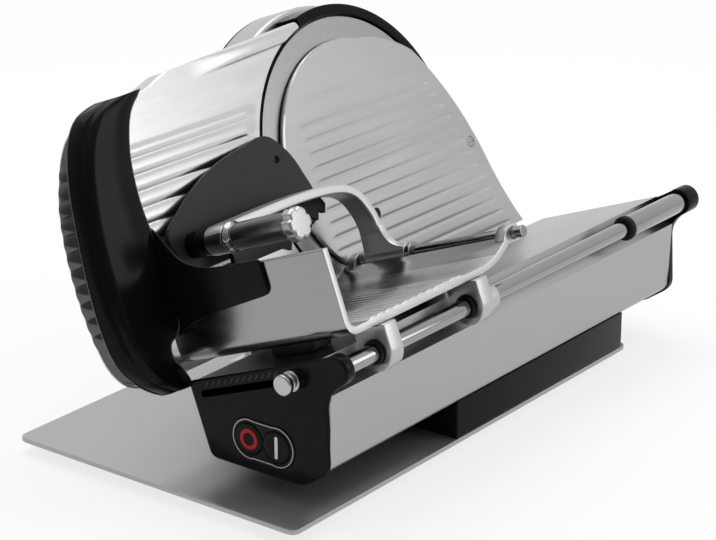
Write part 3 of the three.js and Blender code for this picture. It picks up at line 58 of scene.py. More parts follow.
RIGHT = np.array([1.0, 0.0, 0.0])
UPWARD = np.array([0.0, 0.0, 1.0])
BLADE_FOOT = np.array([11.5, 0.0, 0.0])
plate_low, plate_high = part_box("base_plate")
PLATE_MIDDLE = np.array([(plate_low.x + plate_high.x) / 2, (plate_low.y + plate_high.y) / 2, plate_low.z])

# Main sizes, the same as the solids. GAP parts two fixed pieces, PLAY a rod and its bore
GAP, PLAY = 0.3, 0.06
PLATE_HALF_X, PLATE_HALF_Y, PLATE_THICK, PLATE_CORNER = 146.0, 240.0, 4.0, 9.0
FOOT_X, FOOT_Y = 100.0, 194.0
PEDESTAL_LEFT, PEDESTAL_FRONT, PEDESTAL_REAR, STAND_FRONT, STAND_REAR = 50.0, -27.0, 230.0, 60.0, 250.0
ROD_OUT, ROD_UP, ROD_RADIUS, ROD_FRONT, ROD_REAR = 177.0, 64.5, 7.0, -194.9, 319.8
ROD_BORE, ROD_OVERHANG = ROD_RADIUS + PLAY, 6.0
BODY_FRONT, BODY_REAR, BODY_TOP, BODY_SIDE, BODY_BOTTOM = -198.0, 306.0, 73.5, 26.0, 21.0
BODY_WALL, BODY_HEEL, WAIST_INSET, WAIST_HEIGHT, CHAMFER_RUN, CHAMFER_RISE = 4.0, 33.0, 3.0, 88.0, 26.0, 19.0
COVE_RADIUS, COVE_LIP, BOSS_LOW, BOSS_HIGH = 22.0, -102, -62, 112
CAP_FRONT, CAP_FLANGE, CAP_BACK, CAP_LIP, BOSS_BACK, BOSS_RADIUS = -200.5, -198.3, -190.3, 1.5, -190.0, 12.0
REAR_CAP_FRONT, REAR_CAP_BACK = 306.3, 315.3
SWITCH_X, SWITCH_Z, SWITCH_HALF = 84.5, 46.5, 13.75
KNOB_OUT, KNOB_UP, KNOB_TRAVEL, SLOT_SPARE, SLOT_HALF = 133.5, 63.0, 88.0, 8.0, 3.0
BLADE_Y, BLADE_U, BLADE_RADIUS = 108.0, 190.0, 125.0
HOUSING_RADIUS, HOUSING_LOW, HOUSING_FRONT, HOUSING_BACK, HOUSING_WALL = 141.0, 62.0, -26.0, -60.0, 3.0
MOTOR_Y, MOTOR_U, MOTOR_SHAFT = 196.0, 112.0, 5.0
GAUGE_BOTTOM, GAUGE_TOP, GAUGE_EDGE, GAUGE_ROLL, GAUGE_THICK = 78.0, 314.0, 129.0, 12.0, 6.0
COVER_BOTTOM, COVER_TOP, COVER_RADIUS, COVER_END, COVER_BACK, COVER_FACE = 76.0, 295.0, 105.0, 310.0, 1.5, 4.3
SCREW_Y, SCREW_U = 260.0, 165.0
TRAY_FRONT, TRAY_IN, TRAY_OUT, TRAY_FLOOR, TRAY_WALL_TOP, TRAY_THICK = -185.0, 8.0, 187.0, 91.0, 155.0, 6.0
PUSHER_Y, PUSHER_U, PUSHER_RADIUS = 46.0, 105.0, 5.0
HANDLE_Y, HANDLE_U, HANDLE_BORE, EYE_RADIUS, STEM_RADIUS = -136.0, 171.5, 6.3, 12.0, 4.0
BRACKET_FRONT, BRACKET_BACK, PUSH_Y, PUSH_U = -92.0, -37.0, -64.5, 58.3


def leaning(out, along, up):
    """Points of the leaning frame: so far out of the blade plane, along the stroke and up the plane."""
    out, along, up = np.broadcast_arrays(out, along, up)
    return BLADE_FOOT + out[..., None] * OUT + along[..., None] * ALONG + up[..., None] * UP


def level(x, y, z):
    """Points of the level frame: to the right, along the stroke and upward."""
    return np.stack(np.broadcast_arrays(x, y, z), -1).astype(float)


def level_place(out, up):
    """The level x and z of a place that is given out of the blade plane and up it."""
    return leaning(out, 0.0, up)[[0, 2]]


def slab(shape, depth):
    """A shape in along and up, thick out of the blade plane."""
    return leaning(depth, shape[..., 0], shape[..., 1])


def lean_bar(shape, depth):
    """A shape in out and up, long along the stroke."""
    return leaning(shape[..., 0], depth, shape[..., 1])


def level_bar(shape, depth):
    """A shape in level x and z, long along the stroke."""
    return level(shape[..., 0], depth, shape[..., 1])


def prism(shape, depth):
    """A shape in level x and y, thick upward."""
    return level(shape[..., 0], shape[..., 1], depth)


# Outlines

def arc(centre, radius, start, end, steps=48):
    """Points at one distance from a centre, between two angles in degrees."""
    angle = np.radians(np.linspace(start, end, steps + 1))
    return np.stack([centre[0] + radius * np.cos(angle), centre[1] + radius * np.sin(angle)], 1)


def circle(centre, radius, steps):
    """An arc all the way round, without its last point, which is the first again."""
    return arc(centre, radius, 0, 360, steps)[:-1]


def blended(points, share):
    """A Bezier curve: neighbours among the control points are blended again and again by the same share."""
    while len(points) > 1:
        points = [a * (1 - share) + b * share for a, b in zip(points, points[1:])]
    return points[0]


def bend(*controls, steps=24):
    """A flat Bezier curve from the first control point to the last."""
    share = np.linspace(0, 1, steps + 1)[:, None]
    return blended([np.asarray(control, float)[None] + 0 * share for control in controls], share)


def distinct(points):
    """The points of a closed line without repeated neighbours."""
    points = np.asarray(points, float)
    return points[np.linalg.norm(points - np.roll(points, 1, 0), axis=1) > 1e-4]


def rounded(corners, steps=8):
    """A closed line through corners (x, y, rounding), each a quadratic curve from one side to the other."""
    corners = np.asarray(corners, float)
    here = corners[:, :2]

    def toward(target):
        """The place on the side to a neighbour that is a rounding away, but short of the side's middle."""
        gap = target - here
        length = np.maximum(np.linalg.norm(gap, axis=1, keepdims=True), 1e-9)
        return here + gap * np.minimum(corners[:, 2:3] / length, 0.49)

    start, end = toward(np.roll(here, 1, 0))[:, None], toward(np.roll(here, -1, 0))[:, None]
    share = np.linspace(0, 1, steps + 1)[None, :, None]
    path = (1 - share) ** 2 * start + 2 * share * (1 - share) * here[:, None] + share ** 2 * end
    return distinct(path.reshape(-1, 2))


def box_line(left, low, right, high, rounding, steps=8):
    """A rectangle with all four corners rounded alike."""
    return rounded([(left, low, rounding), (right, low, rounding), (right, high, rounding),
                    (left, high, rounding)], steps)


def follow(table, at):
    """A smooth value from rows (place, value): a cubic between rows, its slopes taken from the neighbours."""
    place, value = np.asarray(table, float).T
    slope = np.gradient(value, place)
    i = np.clip(np.searchsorted(place, at) - 1, 0, len(place) - 2)
    wide = place[i + 1] - place[i]
    t = np.clip((at - place[i]) / wide, 0, 1)
    return ((2 * t ** 3 - 3 * t ** 2 + 1) * value[i] + (t ** 3 - 2 * t ** 2 + t) * wide * slope[i]
            + (3 * t ** 2 - 2 * t ** 3) * value[i + 1] + (t ** 3 - t ** 2) * wide * slope[i + 1])


def thread(points, steps):
    """A smooth open line through points: each coordinate follows its place in the list."""
    points = np.asarray(points, float)
    at = np.linspace(0, len(points) - 1, steps)
    place = np.arange(len(points))
    return np.stack([follow(np.stack([place, column], 1), at) for column in points.T], 1)


def ease(value, low, high):
    """0 below low, 1 above high, and a smooth step between them."""
    t = np.clip((value - low) / (high - low), 0, 1)
    return t * t * (3 - 2 * t)


def ribbon(path, width):
    """The closed outline of a strip of one width along an open line."""
    heading = np.gradient(path, axis=0)
    heading /= np.linalg.norm(heading, axis=1, keepdims=True)
    side = np.stack([-heading[:, 1], heading[:, 0]], 1) * width / 2
    return np.concatenate([path - side, (path + side)[::-1]])


def peanut(lobe, waist):
    """Two round lobes joined by a hollow waist, in level x and z."""
    spread_angle = math.degrees(math.acos(waist / lobe)) / 2
    right = arc((SWITCH_X + SWITCH_HALF, SWITCH_Z), lobe, -90 - spread_angle, 90 + spread_angle)
    left = arc((SWITCH_X - SWITCH_HALF, SWITCH_Z), lobe, 90 - spread_angle, 270 + spread_angle)
    return distinct(np.concatenate([right, left]))


def round_slot(start, end, radius, steps=16):
    """A straight slot with round ends."""
    start, end = np.asarray(start, float), np.asarray(end, float)
    angle = math.degrees(math.atan2(*(end - start)[::-1]))
    return distinct(np.concatenate([arc(end, radius, angle - 90, angle + 90, steps),
                                    arc(start, radius, angle + 90, angle + 270, steps)]))


def pin(start, end, radius, first=0, last=0):
    """A plain pin's profile for turning: out from the axis, along and back, with both rims rounded."""
    return [(start, 0, 0), (start, radius, first), (end, radius, last), (end, 0, 0)]


# Meshes

def quads(rows, columns, wrap_rows=False, wrap_columns=False):
    """Faces of a grid of points, closed round on either side if asked."""
    index = np.arange(rows * columns).reshape(rows, columns)
    if wrap_rows:
        index = np.concatenate([index, index[:1]], 0)
    if wrap_columns:
        index = np.concatenate([index, index[:, :1]], 1)
    return np.stack([index[:-1, :-1], index[:-1, 1:], index[1:, 1:], index[1:, :-1]], -1).reshape(-1, 4)


def settle(piece, sharp=32):
    """Merges doubled points, turns faces so that the volume is positive, and sharpens edges past an angle."""
    work = bmesh.new()
    work.from_mesh(piece.data)
    bmesh.ops.remove_doubles(work, verts=work.verts, dist=1e-7)
    bmesh.ops.dissolve_degenerate(work, edges=work.edges, dist=1e-7)
    bmesh.ops.recalc_face_normals(work, faces=work.faces)
    if work.calc_volume(signed=True) < 0:
        bmesh.ops.reverse_faces(work, faces=work.faces)
    work.to_mesh(piece.data)
    work.free()
    piece.data.shade_smooth()
    piece.data.set_sharp_from_angle(angle=math.radians(sharp))
    return piece


def make(name, points, faces, finish, sharp=32):
    """A mesh object from points in millimetres, with its place in its mesh."""
    mesh = bpy.data.meshes.new(name)
    points_m = np.reshape(points, (-1, 3)) * MM + PLATE_MIDDLE
    mesh.from_pydata(points_m.tolist(), [], [list(map(int, face)) for face in faces])
    mesh.materials.append(finish)
    piece = bpy.data.objects.new(name, mesh)
    bpy.context.scene.collection.objects.link(piece)
    return settle(piece, sharp)


# A bore has another number of sides than a round piece, so that no edge of a cut lies on one of the piece
TURN_STEPS, BORE_STEPS = 72, 65


def turned(name, corners, centre, axis, finish, steps=TURN_STEPS, ring=False):
    """A profile of (height, radius, rounding) carried round an axis. A ring's profile closes on itself."""
    profile = rounded(corners, 5)
    side = np.cross(axis, ALONG if abs(axis[1]) < 0.9 else RIGHT)
    side = side / np.linalg.norm(side)
    angle = np.linspace(0, 2 * math.pi, steps, endpoint=False)[:, None]
    spokes = np.cos(angle) * side + np.sin(angle) * np.cross(axis, side)
    points = centre + profile[:, None, :1] * axis + profile[:, None, 1:] * spokes[None]
    return make(name, points, quads(len(profile), steps, ring, True), finish)


def outward(loop):
    """The miter at each point of a closed outline that keeps its solid on the left."""
    ahead = np.roll(loop, -1, 0) - loop
    ahead = ahead / np.linalg.norm(ahead, axis=1, keepdims=True)
    side = np.stack([ahead[:, 1], -ahead[:, 0]], 1)
    middle = side + np.roll(side, 1, 0)
    middle = middle / np.maximum(np.linalg.norm(middle, axis=1, keepdims=True), 1e-9)
    return middle / np.clip((middle * side).sum(1), 0.5, 1)[:, None]


def counter(loop, hole):
    """An outline turned so that its solid lies on the left."""
    x, y = loop.T
    area = (x * np.roll(y, -1) - np.roll(x, -1) * y).sum()
    return loop if (area > 0) != hole else loop[::-1]


def plate(name, outer, start, end, place, finish, edge=0.6, holes=(), steps=3, back_edge=None):
    """Outlines carried through a depth, and pulled in along a quarter round of one radius at each end."""
    turn = np.linspace(0, math.pi / 2, steps + 1)
    back_edge = edge if back_edge is None else back_edge
    depth = np.concatenate([start + edge * (1 - np.cos(turn)), (end - back_edge * (1 - np.cos(turn)))[::-1]])
    pull = np.concatenate([edge * (1 - np.sin(turn)), (back_edge * (1 - np.sin(turn)))[::-1]])
    points, faces, first, last, count = [], [], [], [], 0
    for loop, hole in [(outer, False)] + [(one, True) for one in holes]:
        loop = counter(distinct(loop), hole)
        rings = loop[None] - pull[:, None, None] * outward(loop)[None]
        points.append(place(rings, depth[:, None]).reshape(-1, 3))
        faces += (quads(len(depth), len(loop), False, True) + count).tolist()
        index = np.arange(len(loop)) + count
        first.append((rings[0], index))
        last.append((rings[-1], index + (len(depth) - 1) * len(loop)))
        count += rings.shape[0] * rings.shape[1]
    for end_loops in (first, last):
        index = np.concatenate([one[1] for one in end_loops])
        if len(end_loops) == 1:
            faces.append(index.tolist())
        else:
            flat = [[Vector((x, y, 0)) for x, y in one[0]] for one in end_loops]
            faces += index[np.array(tessellate_polygon(flat))].tolist()
    return make(name, np.concatenate(points), faces, finish)


def shell(name, front, back, finish, sharp=50):
    """A closed sheet between two grids of the same size: both faces, and a strip along each border."""
    rows, columns = front.shape[:2]
    count = rows * columns
    index = np.arange(count).reshape(rows, columns)
    border = np.concatenate([index[0, :-1], index[:-1, -1], index[-1, :0:-1], index[:0:-1, 0]])
    ahead = np.roll(border, -1)
    strip = np.stack([border, ahead, ahead + count, border + count], 1)
    face = quads(rows, columns)
    faces = np.concatenate([face, face[:, ::-1] + count, strip])
    return make(name, np.concatenate([front.reshape(-1, 3), back.reshape(-1, 3)]), faces, finish, sharp)


def shaped(piece, operation, *tools):
    """Cuts tools out of a piece, or joins them to it, all as triangles, and removes the tools."""
    for solid in (piece, *tools):
        work = bmesh.new()
        work.from_mesh(solid.data)
        bmesh.ops.triangulate(work, faces=work.faces)
        work.to_mesh(solid.data)
        work.free()
    for tool in tools:
        change = piece.modifiers.new(operation.lower(), "BOOLEAN")
        change.operation, change.object, change.solver = operation, tool, "EXACT"
    graph = bpy.context.evaluated_depsgraph_get()
    done = bpy.data.meshes.new_from_object(piece.evaluated_get(graph))
    piece.modifiers.clear()
    old, piece.data = piece.data, done
    done.name = piece.name
    bpy.data.meshes.remove(old)
    for tool in tools:
        bpy.data.objects.remove(tool)
    return settle(piece)


def cut(piece, *tools):
    """A piece without the room that its tools take up."""
    return shaped(piece, "DIFFERENCE", *tools)


def join(piece, *tools):
    """A piece and its tools as one closed surface."""
    return shaped(piece, "UNION", *tools)


def refinish(piece, finish, choose):
    """Gives another finish to faces that a rule picks by their middles, in the leaning frame, and normals."""
    polygons = piece.data.polygons
    middles, normals = np.empty(len(polygons) * 3), np.empty(len(polygons) * 3)
    polygons.foreach_get("center", middles)
    polygons.foreach_get("normal", normals)
    place = (middles.reshape(-1, 3) - PLATE_MIDDLE) / MM - BLADE_FOOT
    picked = choose(place @ np.stack([OUT, ALONG, UP], 1), normals.reshape(-1, 3))
    index = np.empty(len(polygons), np.int32)
    polygons.foreach_get("material_index", index)
    index[picked] = len(piece.data.materials)
    piece.data.materials.append(finish)
    polygons.foreach_set("material_index", index)
    piece.data.update()


def bead(name, path, radius, finish, steps=10):
    """A round bead along a line in the leaning frame: a circle square to the line's heading at each point.

    Over a short way at both ends its radius grows from nothing.
    """
    line = leaning(*path.T)
    heading = np.gradient(line, axis=0)
    heading /= np.linalg.norm(heading, axis=1, keepdims=True)
    side = np.cross(heading, OUT)
    side /= np.linalg.norm(side, axis=1, keepdims=True)
    over = np.cross(heading, side)
    angle = np.linspace(0, 2 * math.pi, steps, endpoint=False)[None, :, None]
    from_ends = np.linspace(0, 12, len(line)) * np.linspace(12, 0, len(line)) / 4
    taper = radius * np.minimum(1, from_ends)[:, None, None]
    rings = line[:, None] + taper * (np.cos(angle) * side[:, None] + np.sin(angle) * over[:, None])
    return make(name, rings, quads(len(line), steps, False, True), finish)


def fit(piece, body, *nodes):
    """Lets a piece ride on a body and stand for CAD nodes, which it hides."""
    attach(piece, body)
    if nodes:
        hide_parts(*nodes)
    return piece


# Finishes

METAL_RELIEF_M, PLASTIC_RELIEF_M, NOISE_LOW, NOISE_HIGH = 0.00006, 0.00008, 0.28, 0.72


def new_finish(name, colour, metallic, roughness, specular=0.5, coat=0.0, grain=0.0):
    """A surface with constant values on the shader's own sockets."""
    finish = bpy.data.materials.new(name)
    finish.use_nodes = True
    inputs = shader_of(finish).inputs
    inputs["Base Color"].default_value = (*colour, 1)
    inputs["Metallic"].default_value = metallic
    inputs["Roughness"].default_value = roughness
    inputs["Specular IOR Level"].default_value = specular
    inputs["Coat Weight"].default_value = coat
    inputs["Anisotropic"].default_value = grain
    return finish


def shader_of(finish):
    """The one shader of a finish."""
    return finish.node_tree.nodes["Principled BSDF"]


def node(owner, kind, **values):
    """A new node of a finish or the world, with values on its sockets or, for other names, on itself."""
    made = owner.node_tree.nodes.new(kind)
    for key, value in values.items():
        if key in made.inputs:
            made.inputs[key].default_value = value
        else:
            setattr(made, key, value)
    return made


def link(owner, source, target):
    """Leads one socket into another."""
    owner.node_tree.links.new(source, target)


def noise(finish, scale, detail=4.0, turn=(0, 0, 0), roughness=0.6):
    """Noise on Object coordinates, in cycles per metre along each axis, so unequal scales draw streaks.

    The scaled place is then turned, which only picks another part of the noise.
    """
    place = node(finish, "ShaderNodeTexCoord")
    mapping = node(finish, "ShaderNodeMapping", Scale=scale, Rotation=turn)
    texture = node(finish, "ShaderNodeTexNoise", Scale=1.0, Detail=detail, Roughness=roughness)
    link(finish, place.outputs["Object"], mapping.inputs["Vector"])
    link(finish, mapping.outputs["Vector"], texture.inputs["Vector"])
    return texture.outputs["Fac"]


def spread(finish, source, low, high):
    """Reads the middle part of a noise's range as a value from low to high."""
    limits = {"From Min": NOISE_LOW, "From Max": NOISE_HIGH, "To Min": low, "To Max": high}
    ranged = node(finish, "ShaderNodeMapRange", **limits)
    link(finish, source, ranged.inputs["Value"])
    return ranged.outputs["Result"]


def tint(finish, source, colour, contrast):
    """Lets the base colour run with a noise from a share darker than a colour to the same share lighter."""
    mix = node(finish, "ShaderNodeMix", data_type="RGBA")
    colours = [socket for socket in mix.inputs if socket.type == "RGBA"]
    colours[0].default_value = (*((1 - contrast) * channel for channel in colour), 1)
    colours[1].default_value = (*((1 + contrast) * channel for channel in colour), 1)
    link(finish, spread(finish, source, 0.0, 1.0), mix.inputs["Factor"])
    result = [socket for socket in mix.outputs if socket.type == "RGBA"][0]
    link(finish, result, shader_of(finish).inputs["Base Color"])


def relief(finish, source, strength, distance_m):
    """Lets a noise raise and lower the surface's look by up to a distance."""
    bump = node(finish, "ShaderNodeBump", Strength=strength, Distance=distance_m)
    link(finish, source, bump.inputs["Height"])
    link(finish, bump.outputs["Normal"], shader_of(finish).inputs["Normal"])


def metal(name, colour, roughness, streak, smear=0.025, depth=0.025, turn=(0, 0, 0), grain=0.0,
          metallic=1.0, contrast=0.035):
    """Metal with fine streaks in its colour, gloss and relief, and broad smears in its gloss."""
    finish = new_finish(name, colour, metallic, roughness, grain=grain)
    fine = noise(finish, streak, 6.0, turn, 0.75)
    tint(finish, fine, colour, contrast)
    broad = noise(finish, (9, 7, 11), 3.0)
    both = node(finish, "ShaderNodeMath", operation="ADD")
    link(finish, spread(finish, fine, -smear, smear), both.inputs[0])
    link(finish, spread(finish, broad, roughness - smear, roughness + smear), both.inputs[1])
    link(finish, both.outputs["Value"], shader_of(finish).inputs["Roughness"])
    relief(finish, fine, depth, METAL_RELIEF_M)
    return finish


def plastic(name, colour, roughness, specular, fine, depth):
    """Moulded plastic or rubber with a fine surface grain and a faint change of gloss."""
    finish = new_finish(name, colour, 0.0, roughness, specular)
    pattern = noise(finish, (fine, fine, fine), 3.0)
    broad = noise(finish, (14, 12, 16), 3.0)
    gloss = spread(finish, broad, roughness * 0.85, roughness * 1.15)
    link(finish, gloss, shader_of(finish).inputs["Roughness"])
    tint(finish, broad, colour, 0.15)
    relief(finish, pattern, depth, PLASTIC_RELIEF_M)
    return finish


# Streaks along the stroke are long in y, and those across the tray and the grip in x
STROKE, LEAN_TURN = (1500, 14, 1500), (0, LEAN, 0)
base_steel = metal("base_steel", (0.40, 0.40, 0.405), 0.36, STROKE, grain=0.3, metallic=0.78)
blade_steel = metal("blade_steel", (0.37, 0.37, 0.375), 0.3, (200, 200, 200))
chrome = metal("chrome", (0.30, 0.305, 0.31), 0.09, (300, 60, 300), 0.02, 0.01)
body_aluminium = metal("body_aluminium", (0.39, 0.395, 0.40), 0.32, STROKE, 0.04, 0.04,
                       grain=0.4)
arm_aluminium = metal("arm_aluminium", (0.54, 0.545, 0.55), 0.38, (90, 90, 90))
gauge_aluminium = metal("gauge_aluminium", (0.60, 0.605, 0.61), 0.24, (120, 8, 120),
                        grain=0.3)
# Near-black metal for the thickness plate's rolled end: a painted dark reflection, not the plate's own colour
painted_dark_reflection = metal("painted_dark_reflection", (0.10, 0.10, 0.103), 0.2, (120, 8, 120))
cover_aluminium = metal("cover_aluminium", (0.45, 0.455, 0.46), 0.3, (160, 8, 160),
                        grain=0.3)
# Two copies of the tray's one sheet metal: the darker one paints shade on the wall, the lighter one paints
# light on the floor's upward faces; the streaks are real grain
tray_aluminium = metal("tray_aluminium", (0.30, 0.305, 0.31), 0.22, (10, 160, 160),
                       turn=LEAN_TURN)
painted_light_floor = metal("painted_light_floor", (0.47, 0.475, 0.48), 0.26, (6, 120, 120),
                        turn=LEAN_TURN, contrast=0.2)
rim_aluminium = metal("rim_aluminium", (0.48, 0.485, 0.49), 0.36, (90, 90, 90))
block_aluminium = metal("block_aluminium", (0.47, 0.475, 0.48), 0.36, (90, 90, 90))
knob_metal = metal("knob_metal", (0.45, 0.455, 0.46), 0.28, (160, 160, 160))
grip_metal = metal("grip_metal", (0.17, 0.17, 0.173), 0.3, (20, 160, 160), turn=LEAN_TURN)
gloss_black = plastic("gloss_black", (0.004, 0.004, 0.0045), 0.2, 0.09, 900, 0.015)
satin_black = plastic("satin_black", (0.007, 0.007, 0.0075), 0.42, 0.2, 2600, 0.1)
grey_plastic = plastic("grey_plastic", (0.022, 0.022, 0.023), 0.46, 0.2, 2600, 0.1)
bead_black = plastic("bead_black", (0.012, 0.012, 0.0125), 0.14, 0.9, 900, 0.01)
rubber = plastic("rubber", (0.010, 0.010, 0.010), 0.72, 0.3, 1800, 0.2)
mark_red = plastic("mark_red", (0.40, 0.008, 0.014), 0.4, 0.2, 2200, 0.05)
mark_white = plastic("mark_white", (0.75, 0.75, 0.74), 0.4, 0.4, 2200, 0.05)
mark_grey = plastic("mark_grey", (0.36, 0.36, 0.36), 0.4, 0.4, 2200, 0.05)

# Base plate, feet and pedestal
plate_line = box_line(-PLATE_HALF_X, -PLATE_HALF_Y, PLATE_HALF_X, PLATE_HALF_Y, PLATE_CORNER, 12)
fit(plate("plate_sheet", plate_line, 0, PLATE_THICK, prism, base_steel, 0.5), "base", "base_plate")
foot = [(-10, 0, 0), (-10, 13, 1.2), (-9, 15, 1.5), (-2.4, 15, 1), (-2.4, 13.4, 0.6), (-GAP, 13.4, 0.3),
        (-GAP, 0, 0)]
for end, foot_y in (("front", -FOOT_Y), ("rear", FOOT_Y)):
    for side, foot_x in (("left", -FOOT_X), ("right", FOOT_X)):
        fit(turned(f"rubber_foot_{end}_{side}", foot, level(foot_x, foot_y, 0), UPWARD, rubber), "base",
            f"foot_{end}_{side}")

on_plate = PLATE_THICK + GAP
rod_x, rod_z = level_place(ROD_OUT, ROD_UP)
rod_centre = level(rod_x, 0, rod_z)
body_right = rod_x - ROD_OVERHANG
chamfer_start = body_right - CHAMFER_RUN
# The pedestal's shoulder stays just under the body's chamfer
pedestal_top = BODY_BOTTOM - GAP
shoulder = BODY_BOTTOM - 0.45 + (PLATE_HALF_X - chamfer_start) * CHAMFER_RISE / CHAMFER_RUN
pedestal = rounded([(PEDESTAL_LEFT, on_plate, 2), (PLATE_HALF_X, on_plate, 2), (PLATE_HALF_X, shoulder, 1),
                    (chamfer_start, pedestal_top, 0), (PEDESTAL_LEFT, pedestal_top, 1)])
fit(plate("pedestal_block", pedestal, PEDESTAL_FRONT, PEDESTAL_REAR, level_bar, gloss_black, 1.2), "base",
    "pedestal")


def standing(left_out, right_out, up):
    """A block on the base plate, in level x and z, whose top lies at one height of the leaning frame."""
    left, right = level_place(left_out, up), level_place(right_out, up)
    return rounded([(left[0], on_plate, 1), (right[0], on_plate, 1), (*right, 1), (*left, 1)])


# Body: a hollow extrusion with a cove round the guide rod

def side_point(out, height):
    """The level place on the body's leaning side at a height."""
    return level_place(out, (height - out * math.sin(LEAN)) / math.cos(LEAN))


def body_outline(inset):
    """Down the leaning side, round the heel, along the floor, up the right side and back round the cove."""
    top, cove, low = BODY_TOP - inset, COVE_RADIUS + inset, BODY_BOTTOM + inset
    heel = side_point(BODY_SIDE + inset, BODY_HEEL)
    drop = math.degrees(math.asin((top - ROD_UP) / cove))
    right_side = rounded([(chamfer_start - inset / 3, low, 4),
                          (body_right - inset, BODY_BOTTOM + CHAMFER_RISE + inset / 2, 6),
                          (body_right - WAIST_INSET - inset, WAIST_HEIGHT, 1)], 6)
    return distinct(np.concatenate([
        level_place(BODY_SIDE + inset, top)[None],
        bend(heel, (heel[0] + inset, low), (heel[0] + 9, low), steps=10),
        right_side[:14],  # two corners of seven points; the third only aims the side
        arc((rod_x, rod_z), cove, COVE_LIP - inset * 3.4, -180 - drop + LEAN_DEGREES, 40)]))


extrusion = plate("body_extrusion", body_outline(0), BODY_FRONT, BODY_REAR, level_bar, body_aluminium, 0,
                  [body_outline(BODY_WALL)], 1)
push_centre = leaning(0.0, PUSH_Y, PUSH_U)
cut(extrusion, turned("push_hole", pin(20, 40, 5), push_centre, OUT, body_aluminium, 32))
fit(extrusion, "base", "body")


# End caps

def cap_outline(top_lip):
    """The body's outline with a small lip, which may differ along the top, and the rod's boss at a corner."""
    heel = side_point(BODY_SIDE - CAP_LIP, BODY_HEEL)
    waist, low = body_right - CAP_LIP, BODY_BOTTOM - CAP_LIP
    tip = level_place(BODY_SIDE - CAP_LIP, BODY_TOP + top_lip)
    bridge = level_place(ROD_OUT - COVE_RADIUS, BODY_TOP + top_lip)
    boss_rim = arc((rod_x, rod_z), BOSS_RADIUS, BOSS_LOW, BOSS_HIGH, 30)
    neck = bend((waist, 90), (waist, 102), boss_rim[0], steps=12)
    return rounded([(*tip, 5), (*heel, 8), (heel[0] + 5, low, 7), (chamfer_start, low, 7),
                    (body_right + CAP_LIP, low + CHAMFER_RISE, 9),
                    *[(x, z, 0) for x, z in np.concatenate([neck, boss_rim])], (*bridge, 8)], 10)


def boss(name, start, end):
    """A round boss for the rod, a little wider than the cap's rim so that no faces coincide in the join."""
    return turned(name, pin(start, end, BOSS_RADIUS + 0.15, 2.5, 1.5), rod_centre, ALONG, gloss_black)


def rod_bore(start, end):
    """The room that the rod and its play take up in a boss."""
    return turned("rod_bore", pin(start, end, ROD_BORE), rod_centre, ALONG, gloss_black, BORE_STEPS)


slot_from = level_place(KNOB_OUT - KNOB_TRAVEL - SLOT_SPARE, KNOB_UP)
slot_to = level_place(KNOB_OUT, KNOB_UP)
front_cap = plate("front_cap_shell", cap_outline(CAP_LIP), CAP_FRONT, CAP_FLANGE, level_bar, gloss_black, 1.9,
                  steps=6, back_edge=0.2)
join(front_cap, boss("front_boss", CAP_FRONT, BOSS_BACK),
     plate("cap_plug", body_outline(BODY_WALL + GAP), CAP_FRONT + 1, CAP_BACK, level_bar, gloss_black, 0))
recess = plate("switch_recess", peanut(18, 15.5), CAP_FRONT - 1, CAP_FRONT + 3, level_bar, gloss_black, 0)
knob_slot = plate("knob_slot", round_slot(slot_from, slot_to, SLOT_HALF), CAP_FRONT - 2, CAP_BACK + 2,
                  level_bar, gloss_black, 0)
cut(front_cap, recess, knob_slot, rod_bore(CAP_FRONT + 5.25, CAP_FRONT + 24))
fit(front_cap, "base", "front_cap")
rear_cap = plate("rear_cap_shell", cap_outline(-CAP_LIP), REAR_CAP_FRONT, REAR_CAP_BACK, level_bar,
                 gloss_black, 0.5, steps=6, back_edge=3.2)
join(rear_cap, boss("rear_boss", REAR_CAP_FRONT + 0.9, REAR_CAP_BACK + 9))
cut(rear_cap, rod_bore(REAR_CAP_FRONT - 2, REAR_CAP_BACK + 4.8))
fit(rear_cap, "base", "rear_cap")

# Guide rod with its sleeve and stop ring, and the gland
fit(turned("polished_rod", pin(ROD_FRONT, ROD_REAR, ROD_RADIUS, 0.8, 0.8), rod_centre, ALONG, chrome), "base",
    "guide_rod")
SLEEVE_FRONT, BUMPER_LONG = 218.0, 6.0
rear_sleeve = [(SLEEVE_FRONT, ROD_BORE, 0.3), (SLEEVE_FRONT, 9.5, 1), (BODY_REAR, 9.5, 0.6),
               (BODY_REAR, ROD_BORE, 0.3)]
fit(turned("rear_sleeve", rear_sleeve, rod_centre, ALONG, chrome, ring=True), "base", "rod_sleeve")
bumper_rear = SLEEVE_FRONT - GAP
bumper_front = bumper_rear - BUMPER_LONG
bumper = [(bumper_front, ROD_BORE, 0.3), (bumper_front, 11, 2), (bumper_rear, 11, 2),
          (bumper_rear, ROD_BORE, 0.3)]
fit(turned("stop_ring", bumper, rod_centre, ALONG, rubber, ring=True), "base", "rod_bumper")
gland = [(0, 0, 0), (0, 9, 0.4), (3, 9, 0.8), (6, 6, 0.8), (12, 6, 0.8), (12, 3.6, 0.5), (3, 3.6, 0.2),
         (3, 0, 0)]
fit(turned("gland_nut", gland, level(SWITCH_X, REAR_CAP_BACK + GAP, SWITCH_Z), ALONG, satin_black), "base",
    "cord_gland")

# Switch: plate with two buttons and their generic marks
off_x, on_x = SWITCH_X - SWITCH_HALF, SWITCH_X + SWITCH_HALF
button_holes = [circle((x, SWITCH_Z), 13.3, 64) for x in (off_x, on_x)]
fit(plate("switch_face", peanut(17.7, 15.2), CAP_FRONT - 1, CAP_FRONT + 2.7, level_bar, gloss_black, 0.8,
          button_holes), "base", "switch_plate")
fit(plate("switch_line", peanut(16.7, 14.4), CAP_FRONT - 1.12, CAP_FRONT - 0.9, level_bar, mark_grey, 0.05,
          [peanut(15.7, 13.5)]), "base")
button = [(-1.3, 0, 0), (-1.7, 11.5, 4), (-1.1, 13, 0.3), (1.2, 13, 0.3), (1.2, 0, 0)]
for key, x in (("off", off_x), ("on", on_x)):
    dome = turned(f"{key}_dome", button, level(x, CAP_FRONT, SWITCH_Z), ALONG, gloss_black)
    fit(dome, key, f"{key}_button")
